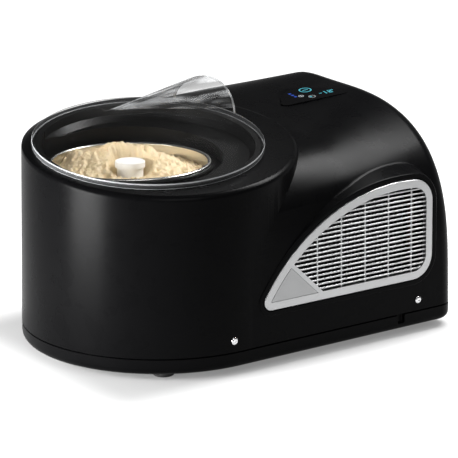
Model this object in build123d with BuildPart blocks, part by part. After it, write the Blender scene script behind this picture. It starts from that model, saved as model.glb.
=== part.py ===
from build123d import *
import os
from math import cos, radians, sin, sqrt, tan

# Overall sizes, in millimetres. The origin is on the floor under the middle of the machine.
body_length = 418.5
body_width = 285.0
foot_height = 7.5
seam_z = 25.0
ledge_z = 207.0
ledge_rise_x = 0.065
ledge_rise_y = 0.15
draft = 1.2
wall = 3.0
fit = 0.3

# Moulded rounds of the body
ledge_round = 4.5
ledge_draw = 1.5
front_round_tower = 50.0
front_round_end = 130.0
back_round_tower = 18.0
back_round_end = 66.0
end_bevel = 13.6
flank_step = 0.6
hood_drop = 0.5
hood_start = 130.0
hood_rise_x = 0.105
hood_rise_y = 0.125

# Base tray and feet
seam_gap = 1.5
tray_chamfer = 6.0
lip_gap = 0.5
lip_height = 9.0
lip_width = 3.0
tray_notch_gap = 75.0
tray_notch_width = 10.0
tray_notch_height = 9.0
tray_notch_depth = 4.0
foot_r = 11.0
tower_foot = (62.0, 96.0)
end_foot = (40.0, 105.0)

# Side screws and the tray bosses that take them
tower_screw = 9.7
end_screw = 52.7
screw_height = 11.3
screw_r = 2.0
screw_length = 15.0
screw_seat = 0.5
screw_head_r = 3.8
screw_head_height = 2.0
screw_socket_r = 1.7
screw_socket_depth = 1.1
boss_gap = 0.9
boss_width = 14.0
boss_depth = 13.0
boss_height = 20.0

# Side grilles: an arched outline with a flat foot and a straight right edge
grille_end_gap = 35.0
grille_bottom = 34.0
grille_arc_gap = 76.0
grille_arc_drop = 67.0
grille_arc_r = 207.0
grille_tip_round = 9.0
grille_corner_round = 25.0
grille_band = 8.5
grille_gap = 1.2
grille_proud = 0.6
grille_chamfer = 0.8
rim_width = 2.4
rim_thickness = 2.0
slat_pitch = 4.6
slat_gap = 2.8
slat_rows = 19
slat_mid = 87.0
slat_recess = 1.0
slat_depth = 2.2
rib_pitch = 29.0
rib_end_gap = 121.0
rib_width = 1.4
rib_depth = 1.7
rib_count = 6
badge_reach = 88.4
badge_lean = 47.0
badge_edge = 6.4
badge_inset = 8.0
badge_depth = 1.0
badge_gap = 0.5
brow_lip = 6.0
brow_taper = 16.5
brow_depth = 50.0
brow_proud = 0.8

# Lid and the dished liner under it
lid_offset = -14.0
lid_r = 116.5
lid_rim = 2.6
lid_height = 6.5
lid_thickness = 2.4
lid_crown = 9.0
lid_knee = 0.4
horn_apex = (24.0, 80.0)
horn_heading = -17.0
horn_half_angle = 15.8
horn_length = 135.0
horn_lift = 11.0
horn_setback = 0.3
opening_r = 110.0
flange_width = 2.8
flange_thickness = 1.6
liner_wall = 2.5
dish_floor_z = 196.0
dish_rise_x = 0.055
dish_rise_y = 0.096
dish_cove = 6.0
pit_r = 93.0
pit_floor_z = 186.0
pit_base = 8.0
collar_wall = 3.0

# Display window and the board under it
display_end_gap = 32.5
display_length = 82.2
display_width = 50.7
display_front = -1.3
display_skew = 16.2
display_heel_round = 10.0
window_rim = 1.5
window_thickness = 2.0
module_inset = 6.0
module_height = 6.0
board_thickness = 1.6

# Cold well and bowl
bowl_offset = -36.0
bowl_rim_z = 192.8
bowl_rim_r = 81.0
bowl_r = 78.2
bowl_wall = 1.0
bowl_depth = 106.0
bowl_chamfer = 8.0
bowl_rim_height = 3.5
bowl_rim_chamfer = 1.0
tube_r = 10.0
tube_wall = 1.5
tube_height = 52.0
can_gap = 0.8
can_wall = 1.8
can_floor = 2.0
jacket_wall = 6.0
jacket_height = 84.0
insulation_wall = 9.0
insulation_floor = 5.0

# Paddle and its drive
shaft_r = 6.0
shaft_clearance = 0.6
square_size = 8.0
square_height = 30.0
bush_r = 11.0
running_gap = 0.05
hub_r = 13.0
hub_wall = 1.8
cap_r = 14.3
cap_height = 6.2
cap_top_z = 191.0
cap_chamfer = 1.0
cap_pin_r = 4.0
cap_pin_length = 10.0
paddle_lift = 6.5
blade_thickness = 4.0
blade_height = 66.0
blade_gap = 3.5
blade_bow = 12.0
blade_window_width = 34.0
blade_window_height = 40.0
blade_window_corner = 6.0
plate_thickness = 3.0
plate_size = 150.0
plate_corner = 12.0
pillar_r = 5.0
pillar_pitch = 126.0
gearbox_height = 28.0
gearbox_length = 96.0
gearbox_width = 64.0
gearbox_corner = 8.0
gearbox_offset = 18.0
gearbox_floor = 8.0
motor_r = 30.0
motor_offset = 30.0
motor_length = 34.0

# Refrigeration set
compressor_end_gap = 91.0
compressor_y = 60.0
compressor_r = 55.0
compressor_height = 122.0
compressor_crown = 24.0
compressor_plate_length = 150.0
compressor_plate_width = 96.0
grommet_r = 9.0
grommet_height = 13.0
grommet_pitch_x = 124.0
grommet_pitch_y = 76.0
relay_lift = 20.0
relay_height = 40.0
relay_width = 44.0
relay_depth = 34.0
relay_corner = 4.0
condenser_end_gap = 123.0
condenser_y = -100.0
condenser_length = 130.0
condenser_height = 100.0
condenser_depth = 30.0
condenser_lift = 29.5
end_plate = 2.0
fin_pitch = 5.0
fin_count = 25
fin_slit = 2.6
fin_slit_depth = 5.0
header_r = 7.0
pipe_inset = 10.0
fan_r = 42.0
fan_hub_r = 14.0
fan_width = 14.0
fan_gap = 2.0
fan_shaft_r = 2.5
blade_count = 5
blade_chord = 22.0
fan_blade_thickness = 1.6
blade_pitch = 32.0
shroud_depth = 22.0
shroud_wall = 2.0
bar_width = 10.0
bar_thickness = 3.0
fan_motor_r = 19.0
fan_motor_length = 28.0
pipe_r = 3.2
pipe_lane = 12.0
capillary_r = 1.2
suction_z = 165.0
drier_turn = -60.0
drier_rise = 5.0
drier_r = 9.0
drier_length = 55.0

# Power board and mains inlet
board_end_gap = 131.0
board_y = -26.0
board_z = 18.0
board_length = 100.0
board_width = 60.0
board_corner = 3.0
board_boss_r = 4.0
capacitor_r = 8.0
capacitor_height = 22.0
transformer_length = 36.0
transformer_width = 40.0
transformer_height = 32.0
winding_proud = 5.0
inlet_y = 40.0
inlet_height_up = 27.0
inlet_width = 27.4
inlet_height = 20.4
inlet_corner = 3.0
inlet_depth = 24.0
inlet_flange = 6.0
inlet_flange_thickness = 2.0
inlet_flush = 0.5
socket_width = 24.4
socket_height = 17.0
socket_depth = 17.0
inlet_pin_pitch = 7.0
inlet_pin_width = 2.0
inlet_pin_height = 4.0
inlet_pin_length = 13.0

# Values worked out from the sizes above
tower_r = body_width / 2
tower_x = tower_r - body_length / 2
end_x = body_length / 2
flank_y = tower_r - flank_step
slope = tan(radians(draft))
lid_x = tower_x + lid_offset
bowl_x = tower_x + bowl_offset
tray_floor_z = foot_height + wall
lip_inset = wall + lip_gap
boss_y = flank_y - wall - boss_gap - boss_depth / 2
screw_places = [(tower_x - tower_screw, screw_height), (end_x - end_screw, screw_height)]
foot_places = [(tower_x - tower_foot[0], side * tower_foot[1]) for side in (-1, 1)]
foot_places += [(end_x - end_foot[0], side * end_foot[1]) for side in (-1, 1)]
grille_tip_x = end_x - grille_arc_gap - sqrt(grille_arc_r**2 - (grille_bottom + grille_arc_drop) ** 2)
grille_front = brow_proud + grille_proud
rim_back = brow_proud - wall - rim_thickness
slat_back = grille_front - slat_recess - slat_depth
plug_r = opening_r - fit
liner_foot_z = pit_floor_z - pit_base
can_r = bowl_r + can_gap + can_wall
can_top_z = bowl_rim_z - bowl_rim_height - fit
bowl_bottom_z = bowl_rim_z - bowl_depth
can_bottom_z = bowl_bottom_z - fit - can_floor
jacket_r = can_r + fit + jacket_wall
insulation_r = jacket_r + fit + insulation_wall
insulation_bottom_z = can_bottom_z - insulation_floor
plate_bottom_z = insulation_bottom_z - plate_thickness
shaft_bottom_z = plate_bottom_z - gearbox_height + gearbox_floor
square_bottom_z = bowl_bottom_z + tube_height - 1
paddle_bottom_z = bowl_bottom_z + bowl_wall + paddle_lift
hub_top_z = cap_top_z - cap_height
blade_r = bowl_r - bowl_wall - blade_gap
crown_z = lid_height + lid_crown
knee_r = lid_knee * lid_r
window_back = -wall - window_thickness
compressor_x = end_x - compressor_end_gap
compressor_z = tray_floor_z + grommet_height + plate_thickness
condenser_x = end_x - condenser_end_gap
condenser_z = tray_floor_z + condenser_lift
condenser_start_x = condenser_x - condenser_length / 2 - end_plate - 2 * header_r
condenser_end_x = condenser_x + condenser_length / 2 + end_plate + 2 * header_r
drier_reach = insulation_r + fit + drier_r
drier_x = bowl_x + drier_reach * cos(radians(drier_turn))
drier_y = drier_reach * sin(radians(drier_turn))
drier_z = insulation_bottom_z + drier_rise
board_x = end_x - board_end_gap
inlet_place = (inlet_y, inlet_height_up)


def top_z(x, y):
    """Height of the sloping ledge of the tower over a point of the plan."""
    return ledge_z + ledge_rise_x * (x - tower_x) + ledge_rise_y * y


def hood_z(x, y):
    """Height of the hood's top, which rises faster than the ledge and leaves it at hood_start."""
    start_z = ledge_z + ledge_rise_x * hood_start - hood_drop
    return start_z + hood_rise_x * (x - tower_x - hood_start) + hood_rise_y * y


ledge = Plane(
    origin=(tower_x, 0, ledge_z),
    x_dir=(1, 0, ledge_rise_x),
    z_dir=(-ledge_rise_x, -ledge_rise_y, 1),
)
hood_top = Plane(
    origin=(tower_x, 0, hood_z(tower_x, 0)),
    x_dir=(1, 0, hood_rise_x),
    z_dir=(-hood_rise_x, -hood_rise_y, 1),
)
near_side = Plane(
    origin=(0, -flank_y, seam_z),
    x_dir=(1, 0, 0),
    z_dir=(0, -cos(radians(draft)), sin(radians(draft))),
)
far_side = Plane(
    origin=(0, flank_y, seam_z),
    x_dir=(-1, 0, 0),
    z_dir=(0, cos(radians(draft)), sin(radians(draft))),
)
end_side = Plane(
    origin=(end_x, 0, seam_z),
    x_dir=(0, 1, 0),
    z_dir=(cos(radians(draft)), 0, sin(radians(draft))),
)
dish = Plane(
    origin=(bowl_x, 0, dish_floor_z),
    x_dir=(1, 0, dish_rise_x),
    z_dir=(-dish_rise_x, -dish_rise_y, 1),
)
lid_frame = Plane(
    origin=(lid_x, 0, top_z(lid_x, 0)),
    x_dir=(1, 0, ledge_rise_x),
    z_dir=(-ledge_rise_x, -ledge_rise_y, 1),
)
lid_section = Plane(origin=lid_frame.origin, x_dir=lid_frame.x_dir, z_dir=-lid_frame.y_dir)
lid_axis = Axis(lid_frame.origin, lid_frame.z_dir)
horn_way = lid_frame.x_dir * cos(radians(horn_heading)) + lid_frame.y_dir * sin(radians(horn_heading))
horn_plane = Plane(
    origin=lid_frame.from_local_coords(Vector(horn_apex[0], horn_apex[1], horn_lift)),
    x_dir=lid_frame.z_dir,
    z_dir=horn_way,
)
shroud_front = Plane(
    origin=(condenser_x, condenser_y + condenser_depth / 2, condenser_z + condenser_height / 2),
    x_dir=(1, 0, 0),
    z_dir=(0, 1, 0),
)


# Outlines that several pieces share
def bevel_leg(inset):
    """Leg of the end bevel on a form drawn in by inset, so that the wall keeps its thickness."""
    return end_bevel - (2 - sqrt(2)) * inset


def plan_outline(inset):
    """Round tower and straight flanks, as seen from above."""
    with BuildSketch() as plan:
        with Locations((tower_x, 0)):
            Circle(tower_r - inset)
            Rectangle(
                end_x - tower_x - inset,
                2 * (flank_y - inset),
                align=(Align.MIN, Align.CENTER),
            )
        chamfer(plan.vertices().group_by(Axis.X)[-1], bevel_leg(inset))
    return plan.sketch


def grille_outline(grow):
    """Arched side opening on the flank, measured up from the seam."""
    with BuildSketch() as outline:
        with Locations((end_x - grille_arc_gap, -grille_arc_drop)):
            Circle(grille_arc_r + grow)
        with Locations((end_x - grille_end_gap + grow, grille_bottom - grow)):
            Rectangle(
                body_length,
                body_length,
                align=(Align.MAX, Align.MIN),
                mode=Mode.INTERSECT,
            )
        fillet(outline.vertices().sort_by(Axis.X)[0], grille_tip_round + grow)
        fillet(outline.vertices().group_by(Axis.X)[-1], grille_corner_round + grow)
    return outline.sketch


def wall_top(x, side, inset):
    """Corner where the drafted flank would meet the sloping top."""
    reach = flank_y - inset + slope * seam_z
    top = hood_z(x, 0) - inset
    z = (top + side * hood_rise_y * reach) / (1 + side * hood_rise_y * slope)
    return (side * (reach - slope * z), z)


def shoulder(side, tower_round, far_round, inset):
    """What lies outside a shoulder that widens along the hood: a sector less its cone."""
    spread = (far_round - tower_round) / (end_x - tower_x)
    apex_x = tower_x - (tower_round - inset) / spread
    apex = Vector(apex_x, *wall_top(apex_x, side, inset))
    flank_way = Vector(0, side * cos(radians(draft)), sin(radians(draft)))
    inward = (flank_way + hood_top.z_dir) * -1
    centre = Vector(end_x, *wall_top(end_x, side, inset))
    centre -= inward * ((far_round - inset) / inward.dot(flank_way))
    way = centre - apex
    sine = (far_round - inset) / way.length
    length = 1.5 * way.length
    across = Plane(origin=apex, x_dir=flank_way - way * (flank_way.dot(way) / way.dot(way)), z_dir=way)
    to_top = Vector(hood_top.z_dir.dot(across.x_dir), hood_top.z_dir.dot(across.y_dir))
    to_top = to_top.normalized() * body_length
    with BuildPart() as outside:
        with BuildSketch(across):
            with BuildLine():
                Polyline(
                    (0, 0),
                    (body_length, 0),
                    (body_length + to_top.X, to_top.Y),
                    (to_top.X, to_top.Y),
                    close=True,
                )
            make_face()
        extrude(amount=length)
        with Locations(across):
            Cone(
                0,
                length * sine / sqrt(1 - sine**2),
                length,
                align=(Align.CENTER, Align.CENTER, Align.MIN),
                mode=Mode.SUBTRACT,
            )
    return outside.part


def housing_form(inset):
    """Tower, hood and the two grille brows, drawn in by a wall thickness."""
    with BuildPart() as hood:
        with BuildSketch(Plane.XY.offset(seam_z - inset)):
            with Locations((tower_x, 0)):
                Rectangle(body_length, 2 * body_width, align=(Align.MIN, Align.CENTER))
        extrude(amount=body_length)
        for side in (near_side, far_side, end_side, hood_top):
            split(bisect_by=side.offset(-inset), keep=Keep.BOTTOM)
        add(shoulder(-1, front_round_tower, front_round_end, inset), mode=Mode.SUBTRACT)
        add(shoulder(1, back_round_tower, back_round_end, inset), mode=Mode.SUBTRACT)
        end_edges = hood.faces().sort_by(Axis.X)[-1].edges().sort_by(Axis.Z)[1:]
        chamfer(end_edges, bevel_leg(inset))
    with BuildPart() as tower:
        with BuildSketch(Plane.XY.offset(seam_z - inset)):
            with Locations((tower_x, 0)):
                Circle(tower_r - inset + slope * inset)
        extrude(amount=ledge_z, taper=draft)
        split(bisect_by=ledge.offset(-inset), keep=Keep.BOTTOM)
        edge_origin = ledge.origin - ledge.z_dir * inset
        with BuildSketch(Plane(origin=edge_origin, x_dir=ledge.x_dir, z_dir=-ledge.y_dir)):
            with BuildLine():
                edge_r = tower_r - inset - ledge_draw
                Polyline(
                    (edge_r, -ledge_round),
                    (edge_r - 0.35 * ledge_round, -0.35 * ledge_round),
                    (edge_r - ledge_round, 0),
                    (body_width, 0),
                    (body_width, -ledge_round),
                    close=True,
                )
            make_face()
        revolve(axis=Axis(ledge.origin, ledge.z_dir), mode=Mode.SUBTRACT)
    with BuildPart() as brow:
        with BuildSketch(near_side.offset(brow_proud - inset)):
            add(grille_outline(brow_lip - inset))
        extrude(amount=-brow_depth, taper=-brow_taper)
    with BuildPart() as form:
        add(hood.part)
        add(tower.part)
        add(brow.part)
        mirror(brow.part, about=Plane.XZ)
    return form.part


def display_outline(inset):
    """Leaf-shaped window on the sloping top, measured from the tower axis."""
    tip_x = end_x - tower_x - display_end_gap
    heel = (tip_x - display_length, display_front + display_skew)
    crown = (tip_x - 0.5 * display_length, display_front + display_width)
    brow_side = (tip_x - 0.21 * display_length, display_front + 0.67 * display_width)
    heel_side = (tip_x - 0.864 * display_length, display_front + 0.81 * display_width)
    with BuildSketch() as leaf:
        with BuildLine():
            Line(heel, (tip_x, display_front))
            ThreePointArc((tip_x, display_front), brow_side, crown)
            ThreePointArc(crown, heel_side, heel)
        make_face()
        fillet(leaf.vertices().sort_by(Axis.X)[0], display_heel_round)
        if inset:
            offset(amount=-inset)
    return leaf.sketch


os.makedirs("parts", exist_ok=True)

# Housing shell: one moulding, open underneath, with the lid opening, the two
# grille openings, the display window opening, the screw holes and the inlet hole
with BuildPart() as grille_hole:
    with BuildSketch(near_side.offset(-2 * wall)):
        add(grille_outline(grille_gap))
    extrude(amount=4 * wall)
with BuildPart() as screw_holes:
    with BuildSketch(near_side.offset(-2 * wall)):
        with Locations(*screw_places):
            Circle(screw_r + fit)
    extrude(amount=4 * wall)
with BuildPart() as housing_shell:
    add(housing_form(0))
    add(housing_form(wall), mode=Mode.SUBTRACT)
    with BuildSketch(Plane.XY.offset(pit_floor_z - wall)):
        with Locations((lid_x, 0)):
            Circle(opening_r)
    extrude(amount=body_width, mode=Mode.SUBTRACT)
    for cutter in (grille_hole, screw_holes):
        add(cutter.part, mode=Mode.SUBTRACT)
        mirror(cutter.part, about=Plane.XZ, mode=Mode.SUBTRACT)
    with BuildSketch(hood_top.offset(wall)):
        add(display_outline(window_rim))
    extrude(amount=-3 * wall, mode=Mode.SUBTRACT)
    with BuildSketch(end_side.offset(-2 * wall)):
        with Locations(inlet_place):
            RectangleRounded(inlet_width + 2 * fit, inlet_height + 2 * fit, inlet_corner)
    extrude(amount=4 * wall, mode=Mode.SUBTRACT)
housing_shell.part.label = "housing_shell"
export_step(housing_shell.part, "parts/housing_shell.step")

# Base tray: bevelled underneath, with a lip that locates the housing and bosses
# for the side screws and the power board
with BuildPart() as base_tray:
    with BuildSketch(Plane.XY.offset(foot_height)):
        add(plan_outline(0))
    extrude(amount=seam_z - seam_gap - foot_height)
    chamfer(base_tray.faces().sort_by(Axis.Z)[0].edges(), tray_chamfer)
    with BuildSketch(Plane.XY.offset(seam_z - seam_gap)):
        add(plan_outline(lip_inset))
    extrude(amount=seam_gap + lip_height)
    with BuildSketch(Plane.XY.offset(tray_floor_z)):
        add(plan_outline(lip_inset + lip_width))
    extrude(amount=body_width, mode=Mode.SUBTRACT)
    with BuildSketch(Plane.XY.offset(tray_floor_z - 1)):
        with Locations(*[(x, s * boss_y) for x, z in screw_places for s in (-1, 1)]):
            Rectangle(boss_width, boss_depth)
    extrude(amount=seam_z + boss_height - tray_floor_z)
    with BuildSketch(Plane.XY.offset(tray_floor_z - 1)):
        with Locations((board_x, board_y)):
            with GridLocations(board_length - 12, board_width - 12, 2, 2):
                Circle(board_boss_r)
    extrude(amount=board_z - tray_floor_z + 1)
    with BuildSketch(Plane.XZ.offset(tower_r - tray_notch_depth)):
        with Locations((end_x - tray_notch_gap, seam_z - seam_gap)):
            Rectangle(tray_notch_width, tray_notch_height, align=(Align.CENTER, Align.MAX))
    extrude(amount=tray_notch_depth, mode=Mode.SUBTRACT)
    with BuildSketch(near_side.offset(-screw_length)):
        with Locations(*screw_places):
            Circle(screw_r + fit)
    extrude(amount=screw_length, mode=Mode.SUBTRACT)
    with BuildSketch(far_side.offset(-screw_length)):
        with Locations(*[(-x, z) for x, z in screw_places]):
            Circle(screw_r + fit)
    extrude(amount=screw_length, mode=Mode.SUBTRACT)
base_tray.part.label = "base_tray"
export_step(base_tray.part, "parts/base_tray.step")

# Four rubber feet under the tray
with BuildPart() as feet:
    with BuildSketch(Plane.XY):
        with Locations(*foot_places):
            Circle(foot_r)
    extrude(amount=foot_height)
feet.part.label = "feet"
export_step(feet.part, "parts/feet.step")

# Side screws: button heads with a hexagon socket, two on each side
with BuildPart() as near_screws:
    with BuildSketch(near_side.offset(screw_seat - screw_length + wall)):
        with Locations(*screw_places):
            Circle(screw_r)
    extrude(amount=screw_length - wall)
    with BuildSketch(near_side.offset(screw_seat)):
        with Locations(*screw_places):
            Circle(screw_head_r)
    extrude(amount=screw_head_height)
    with BuildSketch(near_side.offset(screw_seat + screw_head_height)):
        with Locations(*screw_places):
            RegularPolygon(screw_socket_r, 6)
    extrude(amount=-screw_socket_depth, mode=Mode.SUBTRACT)
with BuildPart() as side_screws:
    add(near_screws.part)
    mirror(near_screws.part, about=Plane.XZ)
side_screws.part.label = "side_screws"
export_step(side_screws.part, "parts/side_screws.step")


# Side grilles: a broad frame round a field of level slats, held by a rim behind
# the wall, with thin uprights along the back of the slats
def slat_field():
    """Open field of the grille, cut off slantwise at its tip."""
    foot = (grille_tip_x + badge_reach, grille_bottom)
    with BuildSketch() as field:
        add(grille_outline(-grille_band))
        with Locations(foot):
            Rectangle(
                body_length,
                body_length,
                rotation=badge_lean,
                align=(Align.MAX, Align.CENTER),
                mode=Mode.SUBTRACT,
            )
    return field.sketch


def badge_outline(inset):
    """Three-cornered plate in the tip of the grille frame."""
    foot = (grille_tip_x + badge_reach - badge_edge, grille_bottom)
    with BuildSketch() as badge:
        add(grille_outline(-badge_inset))
        with Locations(foot):
            Rectangle(
                body_length,
                body_length,
                rotation=badge_lean,
                align=(Align.MAX, Align.CENTER),
                mode=Mode.INTERSECT,
            )
        offset(amount=-inset, kind=Kind.INTERSECTION)
    return badge.sketch


with BuildPart() as plain_grille:
    with BuildSketch(near_side.offset(rim_back)):
        add(grille_outline(0))
    extrude(amount=grille_front - rim_back)
    chamfer(plain_grille.faces().sort_by(Axis.Y)[0].edges(), grille_chamfer)
    with BuildSketch(near_side.offset(rim_back)):
        add(grille_outline(rim_width))
    extrude(amount=rim_thickness)
    with BuildSketch(near_side.offset(grille_front)):
        add(slat_field())
    extrude(amount=-slat_recess, mode=Mode.SUBTRACT)
    with BuildSketch(near_side.offset(grille_front)):
        with Locations((end_x - grille_arc_gap, slat_mid)):
            with GridLocations(slat_pitch, slat_pitch, 1, slat_rows):
                Rectangle(body_length, slat_gap)
        add(slat_field(), mode=Mode.INTERSECT)
    extrude(amount=-body_width / 4, mode=Mode.SUBTRACT)
    with BuildSketch(near_side.offset(slat_back)):
        add(slat_field())
    extrude(amount=rim_back - slat_back, mode=Mode.SUBTRACT)
    with BuildSketch(near_side.offset(slat_back)):
        with Locations((end_x - rib_end_gap, slat_mid)):
            with GridLocations(rib_pitch, rib_pitch, rib_count, 1):
                Rectangle(rib_width, body_width)
        add(slat_field(), mode=Mode.INTERSECT)
    extrude(amount=rib_depth)
with BuildPart() as grille_near:
    add(plain_grille.part)
    with BuildSketch(near_side.offset(grille_front)):
        add(badge_outline(0))
    extrude(amount=-badge_depth, mode=Mode.SUBTRACT)
grille_near.part.label = "grille_near"
export_step(grille_near.part, "parts/grille_near.step")

with BuildPart() as grille_far:
    mirror(plain_grille.part, about=Plane.XZ)
grille_far.part.label = "grille_far"
export_step(grille_far.part, "parts/grille_far.step")

# Bare plate let into the near grille
with BuildPart() as badge_plate:
    with BuildSketch(near_side.offset(grille_front - badge_depth)):
        add(badge_outline(badge_gap))
    extrude(amount=badge_depth)
badge_plate.part.label = "badge_plate"
export_step(badge_plate.part, "parts/badge_plate.step")

# Display window, seated against the inside of the sloping top
with BuildPart() as display_window:
    with BuildSketch(hood_top.offset(-wall)):
        add(display_outline(0))
    extrude(amount=-window_thickness)
display_window.part.label = "display_window"
export_step(display_window.part, "parts/display_window.step")

# Control board under the window, with its display module
with BuildPart() as control_board:
    with BuildSketch(hood_top.offset(window_back - fit)):
        add(display_outline(module_inset))
    extrude(amount=-module_height)
    with BuildSketch(hood_top.offset(window_back - fit - module_height)):
        add(display_outline(window_rim))
    extrude(amount=-board_thickness)
control_board.part.label = "control_board"
export_step(control_board.part, "parts/control_board.step")

# Dished liner: a flange on the ledge, a coved dish, and a collar round the can
with BuildPart() as dish_hollow:
    with BuildSketch(dish):
        with Locations((lid_x - bowl_x, 0)):
            Circle(plug_r - liner_wall - dish_cove)
    extrude(amount=dish_cove, taper=-45)
    with BuildSketch(dish.offset(dish_cove)):
        with Locations((lid_x - bowl_x, 0)):
            Circle(plug_r - liner_wall)
    extrude(amount=body_width / 4)
with BuildPart() as dish_under:
    with BuildSketch(Plane.XY.offset(liner_foot_z - 1)):
        with Locations((lid_x, 0)):
            Circle(plug_r + 1)
        with Locations((bowl_x, 0)):
            Circle(pit_r + liner_wall, mode=Mode.SUBTRACT)
    extrude(amount=body_width)
    split(bisect_by=dish.offset(-liner_wall), keep=Keep.BOTTOM)
with BuildPart() as flange:
    with BuildSketch(lid_frame):
        Circle(plug_r + flange_width)
    extrude(amount=flange_thickness)
with BuildPart() as well_liner:
    with BuildSketch(Plane.XY.offset(liner_foot_z)):
        with Locations((lid_x, 0)):
            Circle(plug_r)
    extrude(amount=body_width)
    split(bisect_by=ledge.offset(flange_thickness), keep=Keep.BOTTOM)
    add(flange.part)
    add(dish_hollow.part, mode=Mode.SUBTRACT)
    add(dish_under.part, mode=Mode.SUBTRACT)
    with BuildSketch(Plane.XY.offset(pit_floor_z)):
        with Locations((bowl_x, 0)):
            Circle(pit_r)
        with Locations((lid_x, 0)):
            Circle(plug_r - liner_wall, mode=Mode.INTERSECT)
    extrude(amount=body_width, mode=Mode.SUBTRACT)
    with BuildSketch(Plane.XY.offset(liner_foot_z)):
        with Locations((bowl_x, 0)):
            Circle(can_r + fit + collar_wall)
    extrude(amount=can_top_z - liner_foot_z)
    with BuildSketch(Plane.XY.offset(liner_foot_z)):
        with Locations((bowl_x, 0)):
            Circle(can_r + fit)
    extrude(amount=body_width, mode=Mode.SUBTRACT)
well_liner.part.label = "well_liner"
export_step(well_liner.part, "parts/well_liner.step")

# Cooling can that the bowl drops into
with BuildPart() as cooling_can:
    with BuildSketch(Plane.XY.offset(can_bottom_z)):
        with Locations((bowl_x, 0)):
            Circle(can_r)
            Circle(bush_r + fit, mode=Mode.SUBTRACT)
    extrude(amount=can_top_z - can_bottom_z)
    with BuildSketch(Plane.XY.offset(can_bottom_z + can_floor)):
        with Locations((bowl_x, 0)):
            Circle(can_r - can_wall)
    extrude(amount=can_top_z, mode=Mode.SUBTRACT)
cooling_can.part.label = "cooling_can"
export_step(cooling_can.part, "parts/cooling_can.step")

# Evaporator: a jacket of flattened channels round the can
with BuildPart() as evaporator_jacket:
    with BuildSketch(Plane.XY.offset(can_bottom_z + can_floor)):
        with Locations((bowl_x, 0)):
            Circle(jacket_r)
            Circle(can_r + fit, mode=Mode.SUBTRACT)
    extrude(amount=jacket_height)
evaporator_jacket.part.label = "evaporator_jacket"
export_step(evaporator_jacket.part, "parts/evaporator_jacket.step")

# Foam cup round the jacket
with BuildPart() as insulation:
    with BuildSketch(Plane.XY.offset(insulation_bottom_z)):
        with Locations((bowl_x, 0)):
            Circle(insulation_r)
            Circle(bush_r + fit, mode=Mode.SUBTRACT)
    extrude(amount=liner_foot_z - insulation_bottom_z)
    with BuildSketch(Plane.XY.offset(can_bottom_z)):
        with Locations((bowl_x, 0)):
            Circle(insulation_r - insulation_wall)
    extrude(amount=body_width, mode=Mode.SUBTRACT)
insulation.part.label = "insulation"
export_step(insulation.part, "parts/insulation.step")

# Steel plate that carries the cold well and the gearbox, on four pillars
with BuildPart() as motor_plate:
    with BuildSketch(Plane.XY.offset(insulation_bottom_z)):
        with Locations((bowl_x, 0)):
            RectangleRounded(plate_size, plate_size, plate_corner)
            Circle(shaft_r + shaft_clearance, mode=Mode.SUBTRACT)
    extrude(amount=-plate_thickness)
motor_plate.part.label = "motor_plate"
export_step(motor_plate.part, "parts/motor_plate.step")

with BuildPart() as plate_pillars:
    with BuildSketch(Plane.XY.offset(tray_floor_z)):
        with Locations((bowl_x, 0)):
            with GridLocations(pillar_pitch, pillar_pitch, 2, 2):
                RegularPolygon(pillar_r, 6)
    extrude(amount=plate_bottom_z - tray_floor_z)
plate_pillars.part.label = "plate_pillars"
export_step(plate_pillars.part, "parts/plate_pillars.step")

# Gearbox under the plate and the motor under the gearbox
with BuildPart() as gearbox:
    with BuildSketch(Plane.XY.offset(plate_bottom_z - gearbox_height)):
        with Locations((bowl_x + gearbox_offset, 0)):
            RectangleRounded(gearbox_length, gearbox_width, gearbox_corner)
    extrude(amount=gearbox_height)
    with BuildSketch(Plane.XY.offset(shaft_bottom_z - shaft_clearance)):
        with Locations((bowl_x, 0)):
            Circle(shaft_r + shaft_clearance)
    extrude(amount=gearbox_height, mode=Mode.SUBTRACT)
gearbox.part.label = "gearbox"
export_step(gearbox.part, "parts/gearbox.step")

with BuildPart() as drive_motor:
    with BuildSketch(Plane.XY.offset(plate_bottom_z - gearbox_height)):
        with Locations((bowl_x + motor_offset, 0)):
            Circle(motor_r)
    extrude(amount=-motor_length)
drive_motor.part.label = "drive_motor"
export_step(drive_motor.part, "parts/drive_motor.step")

# Drive shaft: round through the bush, square where the paddle takes hold
with BuildPart() as drive_shaft:
    with BuildSketch(Plane.XY.offset(shaft_bottom_z)):
        with Locations((bowl_x, 0)):
            Circle(shaft_r)
    extrude(amount=square_bottom_z - shaft_bottom_z)
    with BuildSketch(Plane.XY.offset(square_bottom_z)):
        with Locations((bowl_x, 0)):
            Rectangle(square_size, square_size)
    extrude(amount=square_height)
drive_shaft.part.label = "drive_shaft"
export_step(drive_shaft.part, "parts/drive_shaft.step")

with BuildPart() as shaft_bush:
    with BuildSketch(Plane.XY.offset(insulation_bottom_z)):
        with Locations((bowl_x, 0)):
            Circle(bush_r)
            Circle(shaft_r + running_gap, mode=Mode.SUBTRACT)
    extrude(amount=can_bottom_z + can_floor - insulation_bottom_z)
shaft_bush.part.label = "shaft_bush"
export_step(shaft_bush.part, "parts/shaft_bush.step")

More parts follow.
